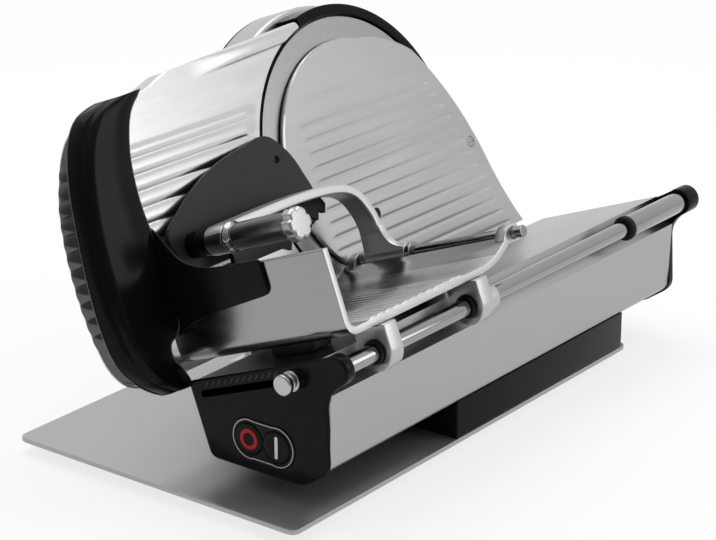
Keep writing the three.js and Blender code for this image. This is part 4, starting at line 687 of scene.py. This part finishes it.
mark_front = CAP_FRONT - 1.85
fit(plate("off_mark", circle((off_x, SWITCH_Z), 8.6, 64), mark_front, CAP_FRONT - 1.3, level_bar, mark_red,
          0.06, [circle((off_x, SWITCH_Z), 5.5, 64)]), "off")
fit(plate("on_mark", round_slot((on_x, SWITCH_Z - 8), (on_x, SWITCH_Z + 8), 1.4), mark_front, CAP_FRONT - 1.2,
          level_bar, mark_white, 0.06), "on")

# Scale beside the thickness slot: plain ticks, raised so little that the knob passes over them
TICK_COUNT, TICK_START, TICK_PITCH, TICK_PROUD = 12, 42.0, 6.8, 0.2
TICK_LOW, TICK_HIGH, TICK_SLANT, TICK_HALF = 68.4, 71.6, 3.4, 0.75
for i in range(TICK_COUNT):
    tick_out = TICK_START + TICK_PITCH * i
    tick = round_slot(level_place(tick_out, TICK_LOW), level_place(tick_out + TICK_SLANT, TICK_HIGH),
                      TICK_HALF, 6)
    fit(plate(f"scale_tick_{i}", tick, CAP_FRONT - TICK_PROUD, CAP_FRONT + 0.4, level_bar, grey_plastic,
              0.1), "base")

# Thickness knob
thickness_knob = [(-14, 0, 0), (-13.8, 6.5, 3), (-13, 8.6, 1.6), (-8.2, 8.6, 1.4), (-7.2, 5.2, 1.2),
                  (-4, 5.2, 1), (-3, 8.6, 0.8), (-GAP, 8.6, 0.6), (-GAP, 2.7, 0.1), (10, 2.7, 0.2),
                  (10, 0, 0)]
fit(turned("pull_knob", thickness_knob, leaning(KNOB_OUT, CAP_FRONT, KNOB_UP), ALONG, knob_metal),
    "thickness", "thickness_knob")

# Blade, and the ring guard, whose outer edge is 2 mm wider than its solid's
blade_centre, blade_axis = (BLADE_Y, BLADE_U), leaning(0.0, BLADE_Y, BLADE_U)
blade = [(-3, 22, 0), (-3, 111, 0.3), (-0.7, BLADE_RADIUS, 0), (-0.3, BLADE_RADIUS, 0), (0, 111, 0.3),
         (0, 22, 0)]
fit(turned("blade_disc", blade, blade_axis, OUT, blade_steel, 180, ring=True), "blade_rotor", "blade")
RING_OUTER, RING_INNER, RING_FROM, RING_TO, RING_FACE = 136.5, 127.0, -42, 104, 1.2
ring_line = np.concatenate([arc(blade_centre, RING_OUTER, RING_FROM, RING_TO, 120),
                            arc(blade_centre, RING_INNER, RING_TO, RING_FROM, 120)])
fit(plate("blade_ring", ring_line, HOUSING_FRONT + GAP, RING_FACE, slab, gloss_black, 2.6, steps=6,
          back_edge=1.2), "base", "ring_guard")


# Housing with its back, the motor and the stand

def housing_outline(inset):
    """A round case with a wing on its far side."""
    radius, low, wing = HOUSING_RADIUS - inset, HOUSING_LOW + inset, COVER_END - inset
    start = -180 - math.degrees(math.asin((low - BLADE_U) / radius))
    case = arc(blade_centre, radius, start, 36 - 360, 110)
    return distinct(np.concatenate([case, bend(case[-1], (wing - 48, 207), (wing - 24, 137)),
                                    bend((wing - 24, 137), (wing - 14, 92), (wing, low))]))


housing = plate("housing_case", housing_outline(0), HOUSING_BACK, HOUSING_FRONT, slab, block_aluminium, 0.5,
                steps=6, back_edge=4)
cut(housing, plate("housing_hollow", housing_outline(HOUSING_WALL), HOUSING_BACK - 2,
                   HOUSING_FRONT - HOUSING_WALL, slab, block_aluminium, 0))
bearing_boss = turned("bearing_boss", pin(-35, -20, 28, 0, 1.5), blade_axis, OUT, block_aluminium)
posts = [turned("post", pin(-27.5, 1.2, 6, 0, 0.6), leaning(0.0, along, up), OUT, block_aluminium, 32)
         for along, up in ((SCREW_Y, SCREW_U), (284, 84))]
join(housing, bearing_boss, *posts)
cut(housing, turned("bearing_seat", pin(-60, -10, 20.1), blade_axis, OUT, block_aluminium))
fit(housing, "base", "blade_housing")
back_plate_front = HOUSING_BACK - GAP
fit(plate("housing_rear_plate", housing_outline(0), back_plate_front - 3, back_plate_front, slab, satin_black,
          1.2, [circle((MOTOR_Y, MOTOR_U), 10, 32)], 4), "base", "housing_back")
motor = [(-125.6, 0, 0), (-125.6, 34, 3), (-122, 40, 4), (-110, 40, 0.5), (-109, 38.6, 0.3),
         (-107, 38.6, 0.3), (-106, 40, 0.5), (-84, 40, 0.5), (-83, 38.6, 0.3), (-81, 38.6, 0.3),
         (-80, 40, 0.5), (-63.6, 40, 1), (-63.6, MOTOR_SHAFT + PLAY, 0), (-94.9, MOTOR_SHAFT + PLAY, 0),
         (-94.9, 0, 0)]
fit(turned("motor_case", motor, leaning(0.0, MOTOR_Y, MOTOR_U), OUT, satin_black), "base", "motor")
fit(plate("stand_block", standing(HOUSING_BACK, HOUSING_FRONT, HOUSING_LOW - GAP), STAND_FRONT, STAND_REAR,
          level_bar, block_aluminium, 1.5), "base", "housing_stand")

# Blade cover: a grooved plate, round by the blade's edge and winged behind it
TOE_TOP, WING_TOP, PLUG_Y, PLUG_U = 94.1, 289.86, 101.0, 137.0
GROOVE_TOP, GROOVE_PITCH, GROOVE_DEPTH, GROOVE_HALF = 231.0, 12.5, 0.75, 1.5
cover_rows = np.linspace(COVER_BOTTOM, COVER_TOP, 320)
cover_reach = np.sqrt(np.maximum(COVER_RADIUS ** 2 - (cover_rows - BLADE_U) ** 2, 0))
cover_toe = np.interp(cover_rows, [COVER_BOTTOM, TOE_TOP], [87, 65.3])
cover_left = np.where(cover_rows < TOE_TOP, cover_toe, BLADE_Y - cover_reach)[:, None]
cover_wing = np.concatenate([bend((306, COVER_BOTTOM), (292, 100), (280, 137), steps=30),
                             bend((280, 137), (262, 208), (214, 264), steps=40),
                             bend((214, 264), (180, 288), (140.4, WING_TOP), steps=20)])
cover_right = np.where(cover_rows > WING_TOP, BLADE_Y + cover_reach,
                       np.interp(cover_rows, cover_wing[:, 1], cover_wing[:, 0]))[:, None]
cover_across = np.linspace(0, 1, 140)[None]
cover_y = cover_left + (cover_right - cover_left) * cover_across
cover_u = cover_rows[:, None] + 0 * cover_across
from_groove = np.abs((cover_u - GROOVE_TOP + GROOVE_PITCH / 2) % GROOVE_PITCH - GROOVE_PITCH / 2)
grooved = ease(cover_y, 34, 44) * (1 - ease(cover_y - cover_right, -26, -16)) * (cover_u < GROOVE_TOP + 7)
groove = GROOVE_DEPTH * np.exp(-(from_groove / GROOVE_HALF) ** 2) * grooved
from_border = np.minimum.reduce([cover_y - cover_left, cover_right - cover_y, cover_u - COVER_BOTTOM])
cover_out = COVER_FACE - groove - 0.8 * (1 - ease(from_border, 0, 1.4))
cover = shell("cover_plate", leaning(cover_out, cover_y, cover_u), leaning(COVER_BACK, cover_y, cover_u),
              cover_aluminium)
screw_centre = leaning(0.0, SCREW_Y, SCREW_U)
cut(cover, turned("screw_hole", pin(0, 9, 5.3), screw_centre, OUT, cover_aluminium, 32))
fit(cover, "base", "blade_cover")
screw = turned("cover_bolt", pin(COVER_BACK, COVER_FACE + 0.3, 5, 0.2, 0.9), screw_centre, OUT, blade_steel,
               40)
screw_slot = box_line(SCREW_Y - 6, SCREW_U - 0.7, SCREW_Y + 6, SCREW_U + 0.7, 0)
cut(screw, plate("screw_slot", screw_slot, 3.6, 6, slab, blade_steel, 0))
fit(screw, "base", "cover_screw")
plug = [(2.5, 0, 0), (2.5, 5, 0), (4.7, 5, 0.5), (4.4, 0, 0)]
fit(turned("cover_plug", plug, leaning(0.0, PLUG_Y, PLUG_U), OUT, satin_black, 40), "base")

# Thickness plate: ribs along the stroke, a rolled left end, a round top bar that climbs to the right, and an
# edge hollowed round the blade. The columns crowd to the left, where the plate rolls back
GAUGE_ROWS, GAUGE_COLUMNS, GAUGE_CROWD = 300, 150, 2.2
RIB_TOP, RIB_PITCH, RIB_COUNT, RIB_HEIGHT = 266.0, 13.3, 11, 1.5
RIB_END_Y, RIB_END_U, RIB_END_SLANT = -12.0, 257.0, 0.45
BAR_LEFT, BAR_LEFT_TOP, BAR_RIGHT, BAR_RIGHT_TOP, BAR_HALF, BAR_RISE = -106.0, 311.0, 72.0, 319.5, 7.0, 3.2
BAR_FADE_FROM, BAR_FADE_TO, REFLECTION_PAINT_BEHIND, REFLECTION_PAINT_TOP = -75.0, 10.0, -1.6, 288.0
gauge_left = thread([(-216, GAUGE_BOTTOM), (-233, 87), (-244, 103), (-249, 126), (-251.5, 156), (-251, 181),
                     (-248.5, 206), (-243, 232), (-234, 254), (-224, 272), (-210, 286), (-188, 295),
                     (-160, 299.5), (-130, 304), (BAR_LEFT, BAR_LEFT_TOP)], GAUGE_ROWS)
left_y, left_u = gauge_left[:, :1], gauge_left[:, 1:]
right_u = np.linspace(GAUGE_BOTTOM, BAR_RIGHT_TOP, GAUGE_ROWS)[:, None]
right_y = BLADE_Y - np.sqrt(GAUGE_EDGE ** 2 - (np.minimum(right_u, GAUGE_TOP) - BLADE_U) ** 2)
right_y -= 0.28 * np.maximum(right_u - GAUGE_TOP, 0)
gauge_across = np.linspace(0, 1, GAUGE_COLUMNS)[None] ** GAUGE_CROWD
gauge_y = left_y + (right_y - left_y) * gauge_across
gauge_u = left_u + (right_u - left_u) * gauge_across
rib_place = (RIB_TOP - gauge_u) / RIB_PITCH
rib_end = RIB_END_Y - (RIB_END_U - gauge_u) * RIB_END_SLANT
rib = 4 * (rib_place % 1) * (1 - rib_place % 1) * (rib_place > 0) * (rib_place < RIB_COUNT)
rib = RIB_HEIGHT * rib * (1 - ease(gauge_y - rib_end, -9, 3)) * ease(rib_place, 0, 0.5)
bar_top = np.interp(gauge_y, [BAR_LEFT, BAR_RIGHT], [BAR_LEFT_TOP, BAR_RIGHT_TOP])
from_middle = (bar_top - BAR_HALF - gauge_u) / BAR_HALF
bar = BAR_RISE * np.sqrt(np.maximum(1 - from_middle ** 2, 0)) * ease(gauge_y, BAR_FADE_FROM, BAR_FADE_TO)
flat = np.clip((gauge_y - left_y) / GAUGE_ROLL, 0, 1)
swell = rib + bar
gauge_out = swell * flat - GAUGE_ROLL * (1 - np.sqrt(1 - (1 - flat) ** 2))
back_out = np.maximum(gauge_out - GAUGE_THICK * flat - rib * flat, -GAUGE_ROLL)
gauge = shell("gauge_sheet", leaning(gauge_out, gauge_y - swell * (1 - flat), gauge_u),
              leaning(back_out, gauge_y + GAUGE_THICK * (1 - flat), gauge_u), gauge_aluminium, 60)
# The rolled left end and the back below the top bar take the near-black metal: a painted dark reflection of
# the black hand guard in front of them
refinish(gauge, painted_dark_reflection, lambda place, normals: (place[:, 0] < REFLECTION_PAINT_BEHIND) & (place[:, 2] < REFLECTION_PAINT_TOP))
fit(gauge, "gauge", "gauge_plate")


def lifted(line, out):
    """A line in along and up, with its distance out of the blade plane put first."""
    return np.concatenate([np.full((len(line), 1), float(out)), line], 1)


fit(bead("gauge_back_bead", lifted(gauge_left, -GAUGE_ROLL), 0.8, rim_aluminium), "gauge")
bracket = rounded([(-36.3, 52.3, 3), (-6.3, 52.3, 3), (-6.3, 150, 3), (-14.3, 150, 3), (-14.3, 64.3, 8),
                   (-36.3, 64.3, 3)])
fit(plate("gauge_foot", bracket, BRACKET_FRONT, BRACKET_BACK, lean_bar, arm_aluminium, 1.2), "gauge",
    "gauge_bracket")
fit(plate("rail_block", standing(-60.3, -6.3, 52.0), BRACKET_FRONT, BRACKET_BACK, level_bar, satin_black, 1),
    "base", "gauge_rail")
fit(turned("push_pin", pin(-6, 61.7, 4, 0.4, 0.8), push_centre, OUT, base_steel, 40), "gauge", "push_rod")

# Tray: bent sheet with ribs across its floor, whose ends show as teeth along the rim
RIDGE_BACK, RIDGE_FRONT, RIDGE_PITCH, RIDGE_HEIGHT = -32.0, -160.0, 10.5, 1.7
ridge_y = np.linspace(RIDGE_BACK, RIDGE_FRONT, 560)
ridge = RIDGE_HEIGHT * np.abs(np.sin(math.pi * (ridge_y - RIDGE_BACK) / RIDGE_PITCH)) ** 0.8
ridge *= ease(ridge_y, RIDGE_FRONT, RIDGE_FRONT + 8) * (1 - ease(ridge_y, RIDGE_BACK - 8, RIDGE_BACK))
wall_in, under_floor = TRAY_FRONT + TRAY_THICK, TRAY_FLOOR - TRAY_THICK
tray_line = distinct(np.concatenate([
    rounded([(wall_in, TRAY_FLOOR + 8, 0), (wall_in, TRAY_WALL_TOP, 1.8), (TRAY_FRONT, TRAY_WALL_TOP, 1.8),
             (TRAY_FRONT, under_floor, 14), (8, under_floor, 30), (38, 99.5, 1.6), (35.4, 104.9, 1.6),
             (6.7, TRAY_FLOOR, 26), (-30, TRAY_FLOOR, 0)], 12),
    np.stack([ridge_y, TRAY_FLOOR + ridge], 1),
    bend((wall_in + 8, TRAY_FLOOR), (wall_in, TRAY_FLOOR), (wall_in, TRAY_FLOOR + 8), steps=10)]))
tray = plate("tray_sheet", tray_line, TRAY_IN, TRAY_OUT, slab, tray_aluminium, 0.4)
holder = rounded([(32, 98.2, 0), (54, 97, 6), (54, 113, 6), (38, 113, 6), (29.4, 102.3, 0)])
holder_bore = circle((PUSHER_Y, PUSHER_U), PUSHER_RADIUS + PLAY, 48)
for name, start in (("inner", 12), ("outer", 176.7)):
    join(tray, plate(f"holder_{name}", holder, start, start + 10, slab, tray_aluminium, 0.8, [holder_bore]))
refinish(tray, rim_aluminium, lambda place, normals: np.abs(normals @ OUT) > 0.8)
# Upward faces of the floor take the lighter copy of the same metal: painted light from above
refinish(tray, painted_light_floor, lambda place, normals: (normals @ UP > 0.5) & (place[:, 2] < TRAY_FLOOR + 4))
fit(tray, "carriage", "tray")
pusher_axis = leaning(0.0, PUSHER_Y, PUSHER_U)
fit(turned("pusher_bar", pin(12, 197, PUSHER_RADIUS, 0.6, 1), pusher_axis, OUT, chrome), "carriage",
    "pusher_rod")

# Bearing blocks, bushes and slide shoes
BLOCK_RADIUS, BLOCK_LONG, SHOE_LONG = 16.0, 16.0, 23.0
block_left, block_right, block_top = ROD_OUT - BLOCK_RADIUS, ROD_OUT + BLOCK_RADIUS, under_floor - GAP
block = distinct(np.concatenate([
    arc((ROD_OUT, ROD_UP), BLOCK_RADIUS, 180, 360, 60),
    rounded([(block_right, 66, 0), (block_right, block_top, 2), (block_left, block_top, 2),
             (block_left, 66, 0)], 6)]))
block_bore = circle((ROD_OUT, ROD_UP), 9.2, 64)
for end, start in (("front", -150), ("rear", -28)):
    hook = plate(f"rod_block_{end}", block, start, start + BLOCK_LONG, lean_bar, block_aluminium, 1.0,
                 [block_bore])
    if end == "rear":
        barrel = [(start + 8, 9.25, 0), (start + 8, 12.5, 0), (start + 30, 12.5, 1.5),
                  (start + 30, 9.25, 0.4)]
        join(hook, turned("rod_barrel", barrel, rod_centre, ALONG, block_aluminium, ring=True))
    fit(hook, "carriage", f"bearing_block_{end}")
    bush = [(start - 2.8, ROD_BORE, 0.3), (start - 2.8, 9.4, 0.8), (start - GAP, 9.4, 0.3),
            (start - GAP, 8.86, 0.2), (start + BLOCK_LONG, 8.86, 0.3), (start + BLOCK_LONG, ROD_BORE, 0.3)]
    fit(turned(f"slide_bush_{end}", bush, rod_centre, ALONG, satin_black, ring=True), "carriage",
        f"bush_{end}")
shoe = box_line(80, BODY_TOP + GAP, 124, block_top, 1)
for end, start in (("front", -158), ("rear", -8)):
    fit(plate(f"glide_{end}", shoe, start, start + SHOE_LONG, lean_bar, satin_black, 0.8), "carriage",
        f"slide_shoe_{end}")

# Hand guard: a dished shell lofted between its left edge, its crease and its right edge
GUARD_ROWS, EDGE_OUT, CREASE_OUT, RIM_OUT = 130, 4.0, 22.0, 21.5
FOLD_BEFORE, FOLD_AFTER, GUARD_BULGE, GUARD_THICK = 0.3, 0.14, 2.4, 3.0
guard_left = thread([(-213, 69), (-233, 83), (-249, 103), (-254, 128), (-254.5, 155), (-252, 185),
                     (-248, 215), (-243, 243), (-236, 266), (-227, 284), (-213, 297), (-190, 304)],
                    GUARD_ROWS)
guard_crease = thread([(-206, 70), (-226, 83), (-238, 103), (-243, 128), (-244.5, 155), (-243.5, 185),
                       (-240.5, 215), (-234, 243), (-226, 265), (-214, 284), (-198, 298), (-176, 304)],
                      GUARD_ROWS)
guard_right = thread([(-193, 70), (-198, 84), (-205, 97), (-203, 107), (-189, 118), (-187.6, 150),
                      (-187.6, 185), (-190, 218), (-188, 246), (-182, 269), (-171, 290), (-153, 305)],
                     GUARD_ROWS)


def section(*controls, steps):
    """Bezier curves across the shell, one for each row of the loft."""
    share = np.linspace(0, 1, steps)[None, :, None]
    return blended([control[:, None] + 0 * share for control in controls], share)


guard_edge, crease = lifted(guard_left, EDGE_OUT), lifted(guard_crease, CREASE_OUT)
guard_rim = lifted(guard_right, RIM_OUT)
before = crease + (guard_edge - crease) * FOLD_BEFORE
after = crease + (guard_rim - crease) * FOLD_AFTER
swept = guard_edge + (crease - guard_edge) * np.array([0.62, 0.12, 0.12])
flank = section(guard_edge, swept, before, steps=14)
fold = section(before, crease, after, steps=9)
bulge = (after + guard_rim) / 2 + np.array([GUARD_BULGE, 0, 0])
dish = section(after, bulge, guard_rim, steps=26)
guard_outside = np.concatenate([flank, fold[:, 1:], dish[:, 1:]], 1)
from_rim = np.linspace(2.6, 0, guard_outside.shape[1])[None, :, None]
guard_inside = guard_outside + np.array([-GUARD_THICK, 0, 0]) + from_rim * np.array([0, 1.0, 0])
guard_inside[..., 0] = np.maximum(guard_inside[..., 0], EDGE_OUT)
guard = shell("guard_shell", leaning(*np.moveaxis(guard_outside, -1, 0)),
              leaning(*np.moveaxis(guard_inside, -1, 0)), gloss_black, 40)
tongue = rounded([(17, 109, 0), (36, 118, 10), (66, 123, 10), (124, 129, 8), (124, 157, 3), (66, 158, 14),
                  (40, 168, 16), (24, 196, 12), (17, 200, 0)], 10)
tongue_back = TRAY_FRONT - GAP
join(guard, plate("guard_tongue", tongue, tongue_back - GUARD_THICK, tongue_back, lean_bar, gloss_black, 1.1))
fit(guard, "carriage", "hand_guard")
fit(bead("guard_inner_bead", lifted(guard_right, 21.2), 0.8, bead_black), "carriage")
fit(bead("guard_outer_bead", lifted(guard_left, 4.6), 0.8, bead_black), "carriage")

# Pusher: sleeve and arched arm. The bores start and end clear of the hub and the eye, so that no web is left
SLEEVE_BORE, SLEEVE_RADIUS, HUB_BORE = PUSHER_RADIUS + PLAY, 7.06, 7.12
ARM_IN, ARM_OUT, ARM_THICK = 32.0, 54.0, 8.0
arm_sleeve = [(24, SLEEVE_BORE, 0.3), (24, 9, 0.8), (29, 9, 0.8), (29, SLEEVE_RADIUS, 0.1),
              (75, SLEEVE_RADIUS, 0.1), (75, 9, 0.8), (80, 9, 0.8), (80, SLEEVE_BORE, 0.3)]
fit(turned("arm_sleeve", arm_sleeve, pusher_axis, OUT, chrome, ring=True), "pusher_slider", "pusher_sleeve")
handle_axis = leaning(0.0, HANDLE_Y, HANDLE_U)
arm_top = HANDLE_U + 8
arm_line = thread([(PUSHER_Y, PUSHER_U), (43, 126), (38, 148), (24, 168), (-2, 177), (-54, arm_top + 1),
                   (HANDLE_Y, arm_top)], 90)
arm = plate("arm_bar", ribbon(arm_line, ARM_THICK), ARM_IN, ARM_OUT, slab, arm_aluminium, 1.6, steps=5)
hub = turned("arm_hub", pin(29.3, 74.7, 9, 1, 1), pusher_axis, OUT, arm_aluminium)
eye = turned("arm_eye", pin(ARM_IN + 0.6, ARM_OUT - 0.6, EYE_RADIUS, 2, 2), handle_axis, OUT, arm_aluminium)
web = np.concatenate([[(30, 106), (74, 106)], bend((74, 113), (57, 115), (54.5, 134)),
                      bend((31.5, 134), (31, 118), (30, 113))])
join(arm, hub, eye, plate("arm_web", web, 38.6, 47.1, lean_bar, arm_aluminium, 1.2))
cut(arm, turned("hub_bore", pin(24, 80, HUB_BORE), pusher_axis, OUT, arm_aluminium, BORE_STEPS),
    turned("eye_bore", pin(24, 60, HANDLE_BORE), handle_axis, OUT, arm_aluminium, BORE_STEPS))


def painted_shade_under_bar(place, normals):
    """The arm's round eye below the bar that runs over it, where the grip's darker metal paints the shade
    under the bar.
    """
    from_handle = np.hypot(place[:, 1] - HANDLE_Y, place[:, 2] - HANDLE_U)
    return (from_handle < EYE_RADIUS + 0.6) & (place[:, 2] < HANDLE_U + 6.5)


# The eye below the bar takes the grip's darker metal: painted shade under the bar
refinish(arm, grip_metal, painted_shade_under_bar)
fit(arm, "pusher", "pusher_arm")

# Pusher's plates: a finger plate with a hole, and a bar with slanting spikes
finger_line = rounded([(-166, 186, 14), (-100, 226, 40), (-15, 238, 14), (8, 214, 12), (24, 176, 8),
                       (14, 150, 6), (-146, 150, 10)], 12)
fit(plate("finger_plate", finger_line, 6.5, 10.5, slab, grey_plastic, 0.9, [circle((-12, 213), 3, 32)]),
    "pusher", "pusher_plate")
SPIKE_COUNT, SPIKE_SLANT, SPIKE_LONG = 6, 5.6, 6.0
spikes_from, spikes_to = np.array([-56.0, 144.0]), np.array([8.0, 166.0])
spike_heading = (spikes_to - spikes_from) / np.linalg.norm(spikes_to - spikes_from)
spike_down = np.array([spike_heading[1], -spike_heading[0]])
roots = spikes_from + (spikes_to - spikes_from) * np.linspace(0, 1, SPIKE_COUNT + 1)[:-1, None]
tips = roots + spike_heading * SPIKE_SLANT + spike_down * SPIKE_LONG
saw = np.stack([roots, tips], 1).reshape(-1, 2)
spike_line = np.concatenate([[(-118, 180), (-118, 144)], saw, [spikes_to, (2, 176)]])
fit(plate("spike_bar", spike_line, 26.7, 31.7, slab, satin_black, 0.5), "pusher", "spike_plate")

# Pusher's handle
spacer = [(10.8, HANDLE_BORE, 0.2), (10.8, 11, 0.8), (22, 11, 0.2), (22.4, 10.4, 0.2), (23, 10.4, 0.2),
          (23.4, 11, 0.2), (26, 11, 0.2), (26.4, 10.4, 0.2), (27, 10.4, 0.2), (27.4, 11, 0.2),
          (31.7, 11, 0.5), (31.7, HANDLE_BORE, 0.2)]
fit(turned("dark_spacer", spacer, handle_axis, OUT, gloss_black, ring=True), "pusher", "handle_spacer")
collar = [(54.3, HANDLE_BORE, 0.2), (54.3, 13.5, 1.2), (56.8, 13.5, 1.4), (60, 11.3, 1.5), (62.3, 11, 0.3),
          (62.3, HANDLE_BORE, 0.2)]
fit(turned("bright_collar", collar, handle_axis, OUT, chrome, ring=True), "pusher", "handle_collar")
grip = [(10.8, 0, 0), (10.8, 6, 0.3), (62.6, 6, 0.1), (62.6, 11, 0.6), (92, 11.4, 12), (118.6, 11, 0.8),
        (118.6, STEM_RADIUS + PLAY, 0.2), (106.3, STEM_RADIUS + PLAY, 0), (106.3, 0, 0)]
fit(turned("grip_tube", grip, handle_axis, OUT, grip_metal), "pusher", "handle_grip")

# Lobed knob: a turned profile, whose radius beyond the stem dips between six lobes
STAR_STEPS, STAR_LOBES, STAR_DIP = 144, 6, 0.15
star = rounded([(106.6, 0, 0), (106.6, STEM_RADIUS, 0.3), (118.9, STEM_RADIUS, 0.1), (118.9, 12.6, 1),
                (120.2, 13.5, 1.2), (128, 13.5, 1.6), (129.9, 11.6, 1.2), (129.9, 0, 0)], 6)
star_angle = np.linspace(0, 2 * math.pi, STAR_STEPS, endpoint=False)
lobes = 1 - STAR_DIP * np.maximum(0, np.cos(STAR_LOBES * star_angle + math.pi)) ** 1.5
star_radius = star[:, 1:] * np.where(star[:, 1:] > STEM_RADIUS + 0.5, lobes[None], 1)
star_points = (handle_axis + star[:, None, :1] * OUT + (star_radius * np.cos(star_angle))[..., None] * ALONG
               + (star_radius * np.sin(star_angle))[..., None] * UP)
fit(make("star_grip", star_points, quads(len(star), STAR_STEPS, False, True), block_aluminium), "star_knob",
    "handle_knob")

# Solids that stay as they are, mostly hidden, take matching finishes
for name, finish in {"blade_shaft": blade_steel, "blade_bearing": blade_steel, "blade_pulley": body_aluminium,
                     "motor_pulley": body_aluminium, "drive_belt": rubber,
                     "thickness_slider": satin_black}.items():
    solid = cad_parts[name]
    solid.data.materials.clear()
    solid.data.materials.append(finish)

# Stage: a pale floor that keeps the shadow and is partly white to the camera and in reflections
FLOOR_HALF_M, FLOOR_GREY, FLOOR_WHITE = 12.0, 0.93, 0.75
floor_corners = [(x * FLOOR_HALF_M, y * FLOOR_HALF_M, 0) for x, y in ((-1, -1), (1, -1), (1, 1), (-1, 1))]
floor_mesh = bpy.data.meshes.new("pale_floor")
floor_mesh.from_pydata(floor_corners, [], [(0, 1, 2, 3)])
floor = bpy.data.objects.new("pale_floor", floor_mesh)
bpy.context.scene.collection.objects.link(floor)
floor_paint = new_finish("floor_paint", (FLOOR_GREY, FLOOR_GREY, FLOOR_GREY), 0.0, 0.9, 0.1)
floor_mesh.materials.append(floor_paint)
paths = node(floor_paint, "ShaderNodeLightPath")
seen = None
for ray in ("Is Camera Ray", "Is Glossy Ray", "Is Transmission Ray"):
    either = node(floor_paint, "ShaderNodeMath", operation="MAXIMUM")
    either.inputs[1].default_value = 0.0
    link(floor_paint, paths.outputs[ray], either.inputs[0])
    if seen:
        link(floor_paint, seen, either.inputs[1])
    seen = either.outputs["Value"]
whitened = node(floor_paint, "ShaderNodeMath", operation="MULTIPLY")
whitened.inputs[1].default_value = FLOOR_WHITE
link(floor_paint, seen, whitened.inputs[0])
glow = node(floor_paint, "ShaderNodeEmission")
floor_mix = node(floor_paint, "ShaderNodeMixShader")
link(floor_paint, whitened.outputs["Value"], floor_mix.inputs["Fac"])
link(floor_paint, shader_of(floor_paint).outputs["BSDF"], floor_mix.inputs[1])
link(floor_paint, glow.outputs["Emission"], floor_mix.inputs[2])
floor_surface = floor_paint.node_tree.nodes["Material Output"].inputs["Surface"]
link(floor_paint, floor_mix.outputs["Shader"], floor_surface)

# World: grey from all round, brighter toward one side
BRIGHT_SIDE, SKY_STOPS = (-0.55, 0.72, 0.42), [(0.0, 0.16), (0.3, 0.3), (0.55, 0.72), (0.8, 0.95)]
world = bpy.data.worlds.new("studio")
bpy.context.scene.world = world
world.use_nodes = True
background = world.node_tree.nodes["Background"]
direction = node(world, "ShaderNodeTexCoord")
aim = node(world, "ShaderNodeVectorMath", operation="DOT_PRODUCT")
aim.inputs[1].default_value = BRIGHT_SIDE
brightness = node(world, "ShaderNodeMapRange", **{"From Min": -1.0, "From Max": 1.0})
ramp = node(world, "ShaderNodeValToRGB")
while len(ramp.color_ramp.elements) < len(SKY_STOPS):
    ramp.color_ramp.elements.new(1.0)
for stop, (position, grey) in zip(ramp.color_ramp.elements, SKY_STOPS):
    stop.position, stop.color = position, (grey, grey, grey, 1)
link(world, direction.outputs["Generated"], aim.inputs[0])
link(world, aim.outputs["Value"], brightness.inputs["Value"])
link(world, brightness.outputs["Result"], ramp.inputs["Fac"])
link(world, ramp.outputs["Color"], background.inputs["Color"])
background.inputs["Strength"].default_value = 1.0


def softbox(name, place_m, target_m, size_m, watts):
    """A rectangular lamp at a place, turned to face a target."""
    lamp = bpy.data.lights.new(name, "AREA")
    lamp.shape, lamp.size, lamp.size_y, lamp.energy = "RECTANGLE", size_m[0], size_m[1], watts
    box = bpy.data.objects.new(name, lamp)
    bpy.context.scene.collection.objects.link(box)
    box.location = place_m
    box.rotation_euler = (Vector(target_m) - Vector(place_m)).to_track_quat("-Z", "Y").to_euler()


softbox("top_box", (-0.5, 0.3, 1.9), (0, 0, 0.1), (1.8, 1.4), 16)
softbox("right_box", (1.7, 0.9, 0.9), (0.05, 0, 0.15), (1.0, 1.2), 8)

# Camera, fitted to the photograph's view
AZIMUTH, ELEVATION, ROLL = math.radians(37.46), math.radians(19.99), math.radians(-0.05)
FOCAL_PIXELS, IMAGE_WIDTH, SENSOR_MM, FAR_M = 2314.71, 716, 36.0, 60
EYE = np.array([1137.9, -1455.2, 784.2])
camera_data = bpy.data.cameras.new("camera")
camera_data.sensor_width = SENSOR_MM
camera_data.lens = FOCAL_PIXELS / IMAGE_WIDTH * SENSOR_MM
camera_data.clip_end = FAR_M
camera = bpy.data.objects.new("camera", camera_data)
bpy.context.scene.collection.objects.link(camera)
facing = Matrix.Rotation(AZIMUTH, 4, "Z") @ Matrix.Rotation(math.pi / 2 - ELEVATION, 4, "X")
camera.matrix_world = (Matrix.Translation(Vector(EYE * MM + PLATE_MIDDLE)) @ facing
                       @ Matrix.Rotation(ROLL, 4, "Z"))
bpy.context.scene.camera = camera
bpy.context.scene.view_settings.view_transform = "Standard"
